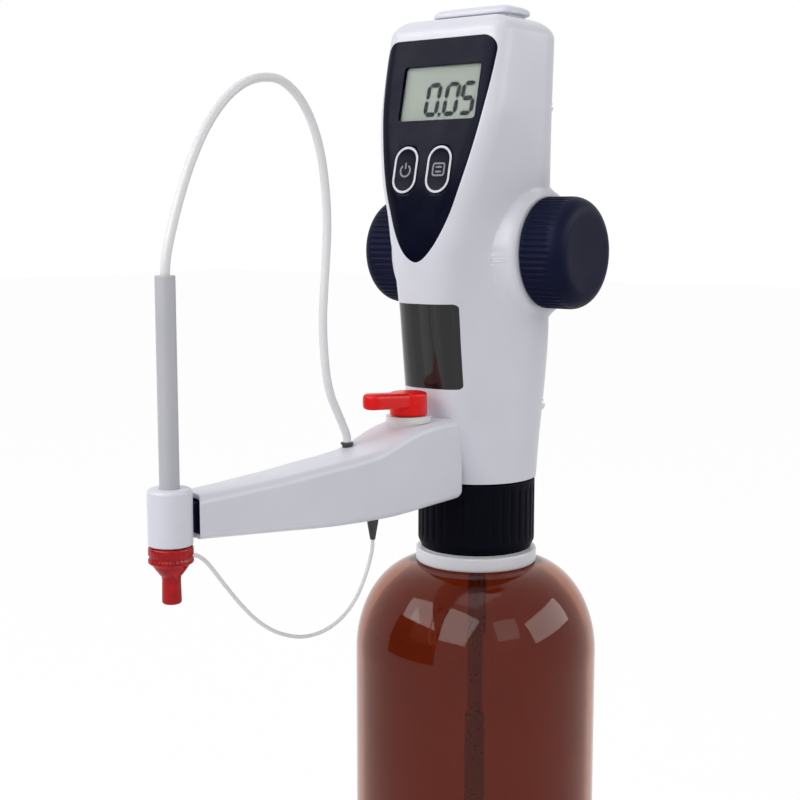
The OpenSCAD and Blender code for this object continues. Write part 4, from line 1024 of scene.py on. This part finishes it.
def arm_ring(s, inset):
    """Rounded rectangle across the arm at distance s from the axis."""
    w = np.interp(s, [ARM_TAPER, ARM_END], [ARM_A, ARM_B]) - inset
    low = np.interp(s, FINE_ARM[:, 0], FINE_ARM[:, 1]) + inset
    high = np.interp(s, FINE_ARM[:, 0], FINE_ARM[:, 2]) - inset
    shape = rounded_rect(2 * w, high - low, max(0.6, ARM_ROUND - inset), 8) + [0, (low + high) / 2]
    return np.column_stack([shape[:, 0], np.full(len(shape), -s), BASE_Z + shape[:, 1]])


def arm_shell():
    """The arm's shell, rounded at its root and cut to a round slot about the holder at its end."""
    rows = []
    for s in np.concatenate([eased(ARM_ROOT, ARM_FULL, 10, False),
                             np.linspace(ARM_FULL, ARM_END, 110)[1:]]):
        back = max(ARM_FULL - s, 0) / (ARM_FULL - ARM_ROOT + 0.001)
        rows.append(arm_ring(s, 2.6 * (1 - math.sqrt(1 - back ** 2))))
    made = Build()
    made.grid(np.array(rows), wrap=True)
    made.fill(rows[0][::-1])
    shell = solidify(made.object("arm_cover"), ARM_WALL)
    t, r = circle(96), HOLDER_R + SLOT
    round_slot = np.column_stack([r * np.cos(t), NOZZLE_Y + r * np.sin(t)])
    slot = prism(round_slot, BASE_Z - 20, BASE_Z + 40).object("slot", merge=0)
    return sharpen(bevel(cut(shell, slot), 0.3))


dress(arm_shell(), WHITE, "head", "housing_plastic", "arm_shell")


def nozzle_holder():
    """The holder's round barrel, its threaded neck below and the sleeve's bore above."""
    top, bore, neck = HOLDER_Z + HOLDER_H, SLEEVE_R + 0.02, 4.9
    outer = np.concatenate([[[neck, HOLDER_Z - 5], [neck, HOLDER_Z]],
                            arc(HOLDER_R - 0.7, HOLDER_Z + 0.7, 0.7, -90, 0, 5),
                            arc(HOLDER_R - 1.4, top - 1.4, 1.4, 0, 90, 8),
                            [[SLEEVE_R + 0.25, top], [bore, top - 0.25], [bore, top - 4]]])
    return lathe("holder_barrel", outer, (0, NOZZLE_Y), 96)


def holder_tongue():
    """The dark tongue that carries the holder in the arm's end."""
    w, y0, y1 = ARM_B - ARM_WALL - 0.8, NOZZLE_Y + HOLDER_R - 1.5, -150
    made = prism([[-w, y0], [w, y0], [w, y1], [-w, y1]], HOLDER_Z + 3.4, HOLDER_Z + 13)
    return sharpen(bevel(made.object("holder_tongue", merge=0), 0.5))


dress(sharpen(nozzle_holder(), 40), WHITE, "head", "housing_plastic", "nozzle_holder")
dress(holder_tongue(), NAVY, "head", "dark_plastic")

sleeve_profile = np.concatenate([
    [[SLEEVE_R, HOLDER_Z + 6]], arc(SLEEVE_R - 0.4, SLEEVE_TOP - 0.4, 0.4, 0, 90, 5),
    [[1.85, SLEEVE_TOP], [1.7, SLEEVE_TOP - 0.3], [1.7, SLEEVE_TOP - 14]]])
dress(sharpen(lathe("sleeve_barrel", sleeve_profile, (0, NOZZLE_Y), 64), 50), SLEEVE, "guide_sleeve",
      "sleeve_plastic", "guide_sleeve")


def screw_cap():
    """Flanged cap with fine grips round its flange and a domed stem."""
    low, top, r = HOLDER_Z - 19.2, HOLDER_Z - 0.3, CAP_R
    groove = r - 0.35
    profile = np.concatenate([
        [[AXIS, low]], arc(2.3, low + 0.9, 0.9, -90, 0, 6), [[3.1, low + 5], [3.05, low + 8]],
        arc(4.9, low + 8.2, 1.8, 180, 128, 6), [[r - 1.5, low + 12.4], [r - 1.35, low + 13.1]],
        arc(r - 0.7, low + 14, 0.7, -90, 0, 4),
        [[r, low + 14.8], [groove, low + 15.2], [groove, low + 15.9], [r, low + 16.3]],
        arc(r - 0.8, top - 0.8, 0.8, 0, 90, 5),
        [[5.3, top], [5.2, top - 0.4], [5.2, top - 5.6], [2.5, top - 7.6], [2.3, low + 2.5],
         [AXIS, low + 2.5]]])

    def grips(t, z):
        on = np.clip((z - low - 13.4) / 0.6, 0, 1) * np.clip((top - 0.6 - z) / 0.6, 0, 1)
        return -GRIP_DEPTH * on * (0.5 + 0.5 * np.cos(GRIPS * t)) ** 4

    return lathe("cap_body", profile, (0, NOZZLE_Y), 180, grips)


dress(screw_cap(), CAP, "screw_cap", "red_plastic", "screw_cap")


# ---- stopcock handle
def valve_handle():
    """A round hub on its plug, with a rounded lever that widens into the hub and rises a little to
    its end. The lever's rings are (inset, height)."""
    made = Build()
    top, at = HUB_Z + HUB_H, (0, STOPCOCK_Y)
    hub = np.concatenate([[[4.4, HUB_Z], [HUB_R - 0.4, HUB_Z]],
                          arc(HUB_R - 0.4, HUB_Z + 0.4, 0.4, -90, 0, 4),
                          arc(HUB_R - 1.1, top - 1.1, 1.1, 0, 90, 8),
                          [[3.0, top + 0.05], [AXIS, top + 0.1]]])
    made.grid(revolved(hub, at, 96), wrap=True)
    reach, half = LEVER_L - LEVER_W / 2, LEVER_W / 2
    rows = []
    for inset, up in ((1.4, 0.0), (0.5, 0.35), (0.08, 1.1), (0.0, 2.2), (0.0, 3.8), (0.08, 4.9),
                      (0.5, 5.6), (1.4, 5.95), (2.4, 6.0), (3.9, 6.0)):
        shape = np.concatenate([arc(0, -reach, half - inset, 180, 360, 20),
                                arc(0, 0, half - inset + 1.2, 0, 180, 20)])
        rise = LEVER_RISE * np.clip(-shape[:, 1] / reach, 0, 1)
        rows.append(raised(shape, HUB_Z + 2.5 + up) + np.array([0, STOPCOCK_Y, 0])
                    + rise[:, None] * [0, 0, 1])
    made.grid(np.array(rows), wrap=True)
    made.fill(rows[0][::-1])
    made.fill(rows[-1])
    made.grid(revolved([[PLUG_R, HUB_Z - PLUG_L], [PLUG_R, HUB_Z + 1.0]], at, 96), wrap=True)
    return sharpen(made.object("stopcock_handle"), 50)


dress(valve_handle(), RED, "valve_key", "red_plastic", "valve_key")


# ---- handwheels
def handwheel(name, side):
    """A wheel with an elliptic rim and a faintly dished face; its ribs fade out over the rim."""
    edge, quarter = WHEEL_R - WHEEL_FACE_R, np.linspace(0, np.pi / 2, 22)
    profile = np.concatenate([
        [[3.0, 0.0], [WHEEL_R - 1.4, 0.0]], arc(WHEEL_R - 0.8, 0.8, 0.8, -90, 0, 5)[1:],
        np.column_stack([np.full(22, WHEEL_R), np.linspace(1.2, WHEEL_T - WHEEL_RIM - 0.2, 22)]),
        np.column_stack([WHEEL_FACE_R + edge * np.cos(quarter),
                         WHEEL_T - WHEEL_RIM + WHEEL_RIM * np.sin(quarter)])[1:],
        np.column_stack([np.linspace(WHEEL_FACE_R - 0.8, AXIS, 12),
                         WHEEL_T - WHEEL_DISH * (1 - np.linspace(1, 0, 12) ** 2)])])

    def ribs(t, z):
        groove = np.clip((0.5 + 0.5 * np.cos(RIBS * t)) * 1.6 - 0.35, 0, 1)
        fade = np.clip((z - 0.6) / 0.8, 0, 1) * np.clip((WHEEL_T - 4.2 - z) / 4.0, 0, 1)
        return -RIB_DEPTH * groove * fade

    points = revolved(profile, (PARTING_Y, SHAFT_Z), RIBS * 10, ribs)[..., [2, 0, 1]]
    points[..., 0] = side * (points[..., 0] + WHEEL_IN)
    made = Build()
    made.grid(points, wrap=True, flip=side < 0)
    return sharpen(made.object(name), 60)


dress(handwheel("wheel_right", 1), NAVY, "handwheels", "dark_plastic", "handwheel_right")
dress(handwheel("wheel_left", -1), NAVY, "handwheels", "dark_plastic", "handwheel_left")


# ---- bottle, adapter and collar
def bottle():
    """Foot ring, wall, elliptic shoulder and neck outside, then the same inside, a wall deep."""
    base = SHOULDER_Z - SHOULDER_H
    a = np.linspace(0, math.pi / 2, 40)
    inner_r = BOTTLE_R - BOTTLE_WALL
    lip = NECK_R + 1.8
    b = a[::-1][4:]
    profile = np.concatenate([
        [[AXIS, 4], [20, 3.8], [BOTTLE_R - 12, 2.5]], arc(BOTTLE_R - 8.5, 2.0, 2.0, 180, 270, 6),
        arc(BOTTLE_R - 4.5, 4.5, 4.5, -90, 0, 12),
        np.column_stack([np.full(30, BOTTLE_R), np.linspace(8, base - 2, 30)]),
        np.column_stack([lip + (BOTTLE_R - lip) * np.cos(a), base + SHOULDER_H * np.sin(a)]),
        [[NECK_R, SHOULDER_Z + 1.6], [NECK_R, BOTTLE_H - 0.8], [NECK_R - 0.8, BOTTLE_H],
         [NECK_IN + 0.8, BOTTLE_H], [NECK_IN, BOTTLE_H - 0.8], [NECK_IN, SHOULDER_Z - 0.5]],
        np.column_stack([NECK_IN - 1 + (inner_r - NECK_IN + 1) * np.cos(b),
                         base - BOTTLE_WALL / 2 + (SHOULDER_H - 1) * np.sin(b)]),
        np.column_stack([np.full(30, inner_r), np.linspace(base - 4, 12, 30)]),
        arc(inner_r - 5, 10.4, 5, 0, -90, 10), [[30, 5.9], [20, 7.2], [AXIS, 7.5]]])
    return lathe("bottle_glass", profile, (0, 0), 192)


dress(bottle(), AMBER, "bottle", "amber_glass", "bottle")

adapter_profile = np.concatenate([
    [[21.4, ADAPTER_Z + 2.2], [23.2, ADAPTER_Z + 0.1]],
    arc(ADAPTER_R - 1.2, ADAPTER_Z + 1.25, 1.2, -90, 0, 6),
    arc(ADAPTER_R - 0.8, ADAPTER_Z + ADAPTER_H - 0.8, 0.8, 0, 90, 6),
    [[22.7, ADAPTER_Z + ADAPTER_H], [22.7, BOTTLE_H - 1.2], [21.2, BOTTLE_H - 1.2]]])
dress(sharpen(lathe("adapter_ring", adapter_profile, (0, 0), 160), 40), ADAPTER, "bottle",
      "adapter_plastic", "thread_adapter")


def flutes(t, z):
    """Shallow grip flutes that fade out at both ends of the collar."""
    on = np.clip((z - COLLAR_EDGE - 1.2) / 1.5, 0, 1) * np.clip((COLLAR_TOP - 2.2 - z) / 1.5, 0, 1)
    wave = np.clip((0.5 + 0.5 * np.cos(FLUTES * t)) * 2.2 - 1.2, 0, 1)
    return -FLUTE_DEPTH * on * wave


collar_profile = np.concatenate([
    [[22.9, COLLAR_Z], [COLLAR_R - 2.1, COLLAR_Z]],
    arc(COLLAR_R - 2.0, COLLAR_Z + 0.5, 0.5, -90, -25, 4),
    [[COLLAR_R - 0.15, COLLAR_EDGE - 0.35], [COLLAR_R, COLLAR_EDGE + 0.3]],
    np.column_stack([np.full(20, COLLAR_R), np.linspace(COLLAR_EDGE + 1, COLLAR_TOP - 1.4, 20)]),
    arc(COLLAR_R - 0.8, COLLAR_TOP - 0.8, 0.8, 0, 90, 6),
    [[17.4, COLLAR_TOP], [17.4, COLLAR_TOP - 2.9]]])
dress(sharpen(lathe("collar_ring", collar_profile, (0, 0), FLUTES * 12, flutes), 40), COLLAR, "bottle",
      "dark_plastic", "bottle_collar")


# ---- discharge tube and strap
TUBE_ROUTE = [
    (-6.6, -77, 256.7), (-6.6, -77.2, 258.8), (-6.6, -78.7, 262), (-6.6, -82.2, 268),
    (-6.6, -86, 274.5), (-6.6, -88.5, 282), (-6.6, -90, 292), (-6.6, -90.5, 303), (-6.4, -90, 314),
    (-6.2, -89, 326), (-6, -88.5, 338), (-5.8, -89.5, 350), (-5.6, -92, 362), (-5.2, -97, 373),
    (-4.6, -104.5, 381.5), (-4, -114, 386.5), (-3.2, -124, 387), (-2.6, -134, 384.5),
    (-2, -144, 378.5), (-1.5, -153, 369.5), (-1, -160.5, 358.5), (-0.6, -166.5, 346.5),
    (-0.2, -170.8, 336), (0, -173.2, 328.5), (0, -174, 322), (0, -174, 316), (0, -174, 310)]
STRAP_ROUTE = [
    (0, -166.6, 232), (0, -162, 230.5), (0, -157.5, 227), (0, -151, 219.5), (0, -143, 210.5),
    (0, -134, 202), (0, -124, 195.5), (0, -112, 191), (0, -100, 190), (0, -89, 192.5),
    (0, -80.5, 198), (0, -75, 205), (0, -71.2, 212.5), (0, -70.2, 216), (0, -70, 218.8)]


def swept(name, route, diameter, sides=20):
    """A round tube along the route: route + d/2 (cos a n + sin a b), with n the X axis made square
    to the route's direction and b their cross product. Returns its path and length in metres too."""
    line = catmull(route, 8)
    ahead = np.gradient(line, axis=0)
    ahead /= np.linalg.norm(ahead, axis=1)[:, None]
    n = np.array([1.0, 0, 0]) - ahead[:, :1] * ahead
    n /= np.linalg.norm(n, axis=1)[:, None]
    b = np.cross(ahead, n)
    a = circle(sides)[None, :, None]
    points = line[:, None] + diameter / 2 * (np.cos(a) * n[:, None] + np.sin(a) * b[:, None])
    made = Build()
    made.grid(points, wrap=True)
    made.fill(points[0][::-1])
    made.fill(points[-1])
    obj = sharpen(made.object(name), 60)
    length = float(np.linalg.norm(np.diff(line, axis=0), axis=1).sum()) * MM
    return obj, (line * MM).tolist(), length


def cord_piece(name, node, route, diameter):
    """A fixed tube along the route, between the head and another body, in place of the node."""
    obj, path, length = swept(name, route, diameter)
    paint(obj, TUBE)
    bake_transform(obj)
    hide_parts(node)


cord_piece("tube_run", "discharge_tube", TUBE_ROUTE, TUBE_D)
cord_piece("strap_run", "strap", STRAP_ROUTE, STRAP_D)


# ---- CAD nodes that keep their shape
FINISH = (
    (POLYMER, "valve_block intake_ball discharge_ball cylinder_cap piston stopcock_body nozzle_tip"),
    (INTAKE, "intake_tube_upper intake_tube_lower return_tube supply_tube"),
    (RUBBER, "bottle_gasket piston_seal tube_fitting strap_anchor"),
    (STEEL, "housing_screws rack_rod drive_shaft"),
    (BRASS, "pinion shaft_bushes"),
    (TRAY, "encoder_disc encoder_sensor"),
    (GLASS, "glass_cylinder"),
)
for material, names in FINISH:
    for name in names.split():
        paint(nodes[name], material)


# ---- stage and lights
CORNERS = ((-1, -1), (1, -1), (1, 1), (-1, 1))
FLOOR_HALF = 6000
FLOOR_GLOW, FLOOR_SHARE = 1.02, 0.93
WORLD_LIGHT, WORLD_SEEN = 0.47, 1.0


def seen_directly(tree):
    """1 for rays from the camera, for mirror rays and for rays through glass, otherwise 0."""
    path = tree.nodes.new("ShaderNodeLightPath")
    total = path.outputs["Is Camera Ray"]
    for kind in ("Is Glossy Ray", "Is Transmission Ray"):
        node = tree.nodes.new("ShaderNodeMath")
        node.operation = "MAXIMUM"
        tree.links.new(total, node.inputs[0])
        tree.links.new(path.outputs[kind], node.inputs[1])
        total = node.outputs[0]
    return total


def floor_material():
    """White bench. Where it is seen directly, FLOOR_SHARE of it is plain glow, so only a part of
    the object's shadow shows on it."""
    s = Shader("floor", Roughness=0.9)
    cloud = s.noise(3.0, 2.0)
    s.set(Base_Color=s.mix((0.93, 0.93, 0.93, 1), (0.9, 0.9, 0.905, 1), cloud))
    glow = s.tree.nodes.new("ShaderNodeEmission")
    glow.inputs["Color"].default_value = (1.0, 1.0, 1.0, 1.0)
    glow.inputs["Strength"].default_value = FLOOR_GLOW
    share = Value(s, seen_directly(s.tree)) * FLOOR_SHARE
    blend = s.tree.nodes.new("ShaderNodeMixShader")
    s.feed(blend.inputs[0], share)
    s.tree.links.new(s.surface.outputs[0], blend.inputs[1])
    s.tree.links.new(glow.outputs[0], blend.inputs[2])
    s.tree.links.new(blend.outputs[0], s.tree.nodes["Material Output"].inputs["Surface"])
    return s.material


floor = mesh_object("floor", [[x * FLOOR_HALF, y * FLOOR_HALF, 0] for x, y in CORNERS],
                    [[0, 1, 2, 3]], smooth=False)
paint(floor, floor_material())


def card(name, at, towards, size, material):
    """A flat card beside the set that only mirror-like surfaces see, as a softbox or a dark flag."""
    at, towards = np.array(at, float), np.array(towards, float)
    out = (towards - at) / np.linalg.norm(towards - at)
    across = np.cross([0, 0, 1], out)
    across /= np.linalg.norm(across)
    rise = np.cross(out, across)
    w, h = size[0] / 2, size[1] / 2
    made = mesh_object(name, [at + across * i * w + rise * j * h for i, j in CORNERS],
                       [[0, 1, 2, 3]], smooth=False)
    for kind in ("camera", "diffuse", "transmission", "shadow", "volume_scatter"):
        setattr(made, "visible_" + kind, False)
    paint(made, material)


def softbox():
    """Glowing cloth, a little uneven."""
    s = Shader("softbox", Roughness=0.8)
    cloth = s.noise(2.0, 1.0)
    s.set(Base_Color=s.mix((0.9, 0.9, 0.9, 1), (0.8, 0.8, 0.8, 1), cloth),
          Emission_Color=s.mix((1.0, 0.98, 0.95, 1), (0.92, 0.9, 0.86, 1), cloth))
    s.surface.inputs["Emission Strength"].default_value = 5.5
    return s.material


def area_light(name, at, size, power):
    """A white rectangular light in metres and watts, aimed at the middle of the object."""
    data = bpy.data.lights.new(name, "AREA")
    data.shape = "RECTANGLE"
    data.size, data.size_y = size
    data.energy = power
    obj = bpy.data.objects.new(name, data)
    obj.location = at
    aim = np.array(LIGHTS_AIM) - np.array(at)
    flat = math.hypot(aim[0], aim[1])
    obj.rotation_euler = (math.atan2(flat, -aim[2]), 0, math.atan2(-aim[0], aim[1]))
    bpy.context.scene.collection.objects.link(obj)


LIGHTS_AIM = (0.0, 0.0, 0.25)
area_light("key_left", (-0.5, -1.2, 1.1), (1.0, 0.8), 8)
area_light("key_right", (1.25, -0.5, 1.0), (0.6, 0.6), 2)
area_light("top", (0.0, -0.2, 1.6), (0.9, 0.9), 3)
SOFTBOX = softbox()
FLAG = rubbery("flag", srgb(20, 20, 24), srgb(14, 14, 18))
card("softbox_front", (-240, -1180, 1130), (10, -43, 183), (2200, 1050), SOFTBOX)
card("softbox_right", (1230, 656, 812), (43, -13, 182), (1400, 620), SOFTBOX)
card("flag_panel", (-560, -1000, 420), (0, 0, 330), (1100, 700), FLAG)

world = bpy.data.worlds.new("studio")
bpy.context.scene.world = world
world.use_nodes = True
world_tree = world.node_tree
background = world_tree.nodes["Background"]
background.inputs["Color"].default_value = (1.0, 1.0, 1.0, 1.0)
strength = world_tree.nodes.new("ShaderNodeMapRange")
world_tree.links.new(seen_directly(world_tree), strength.inputs["Value"])
strength.inputs["To Min"].default_value = WORLD_LIGHT
strength.inputs["To Max"].default_value = WORLD_SEEN
world_tree.links.new(strength.outputs["Result"], background.inputs["Strength"])

bpy.context.scene.view_settings.view_transform = "Standard"
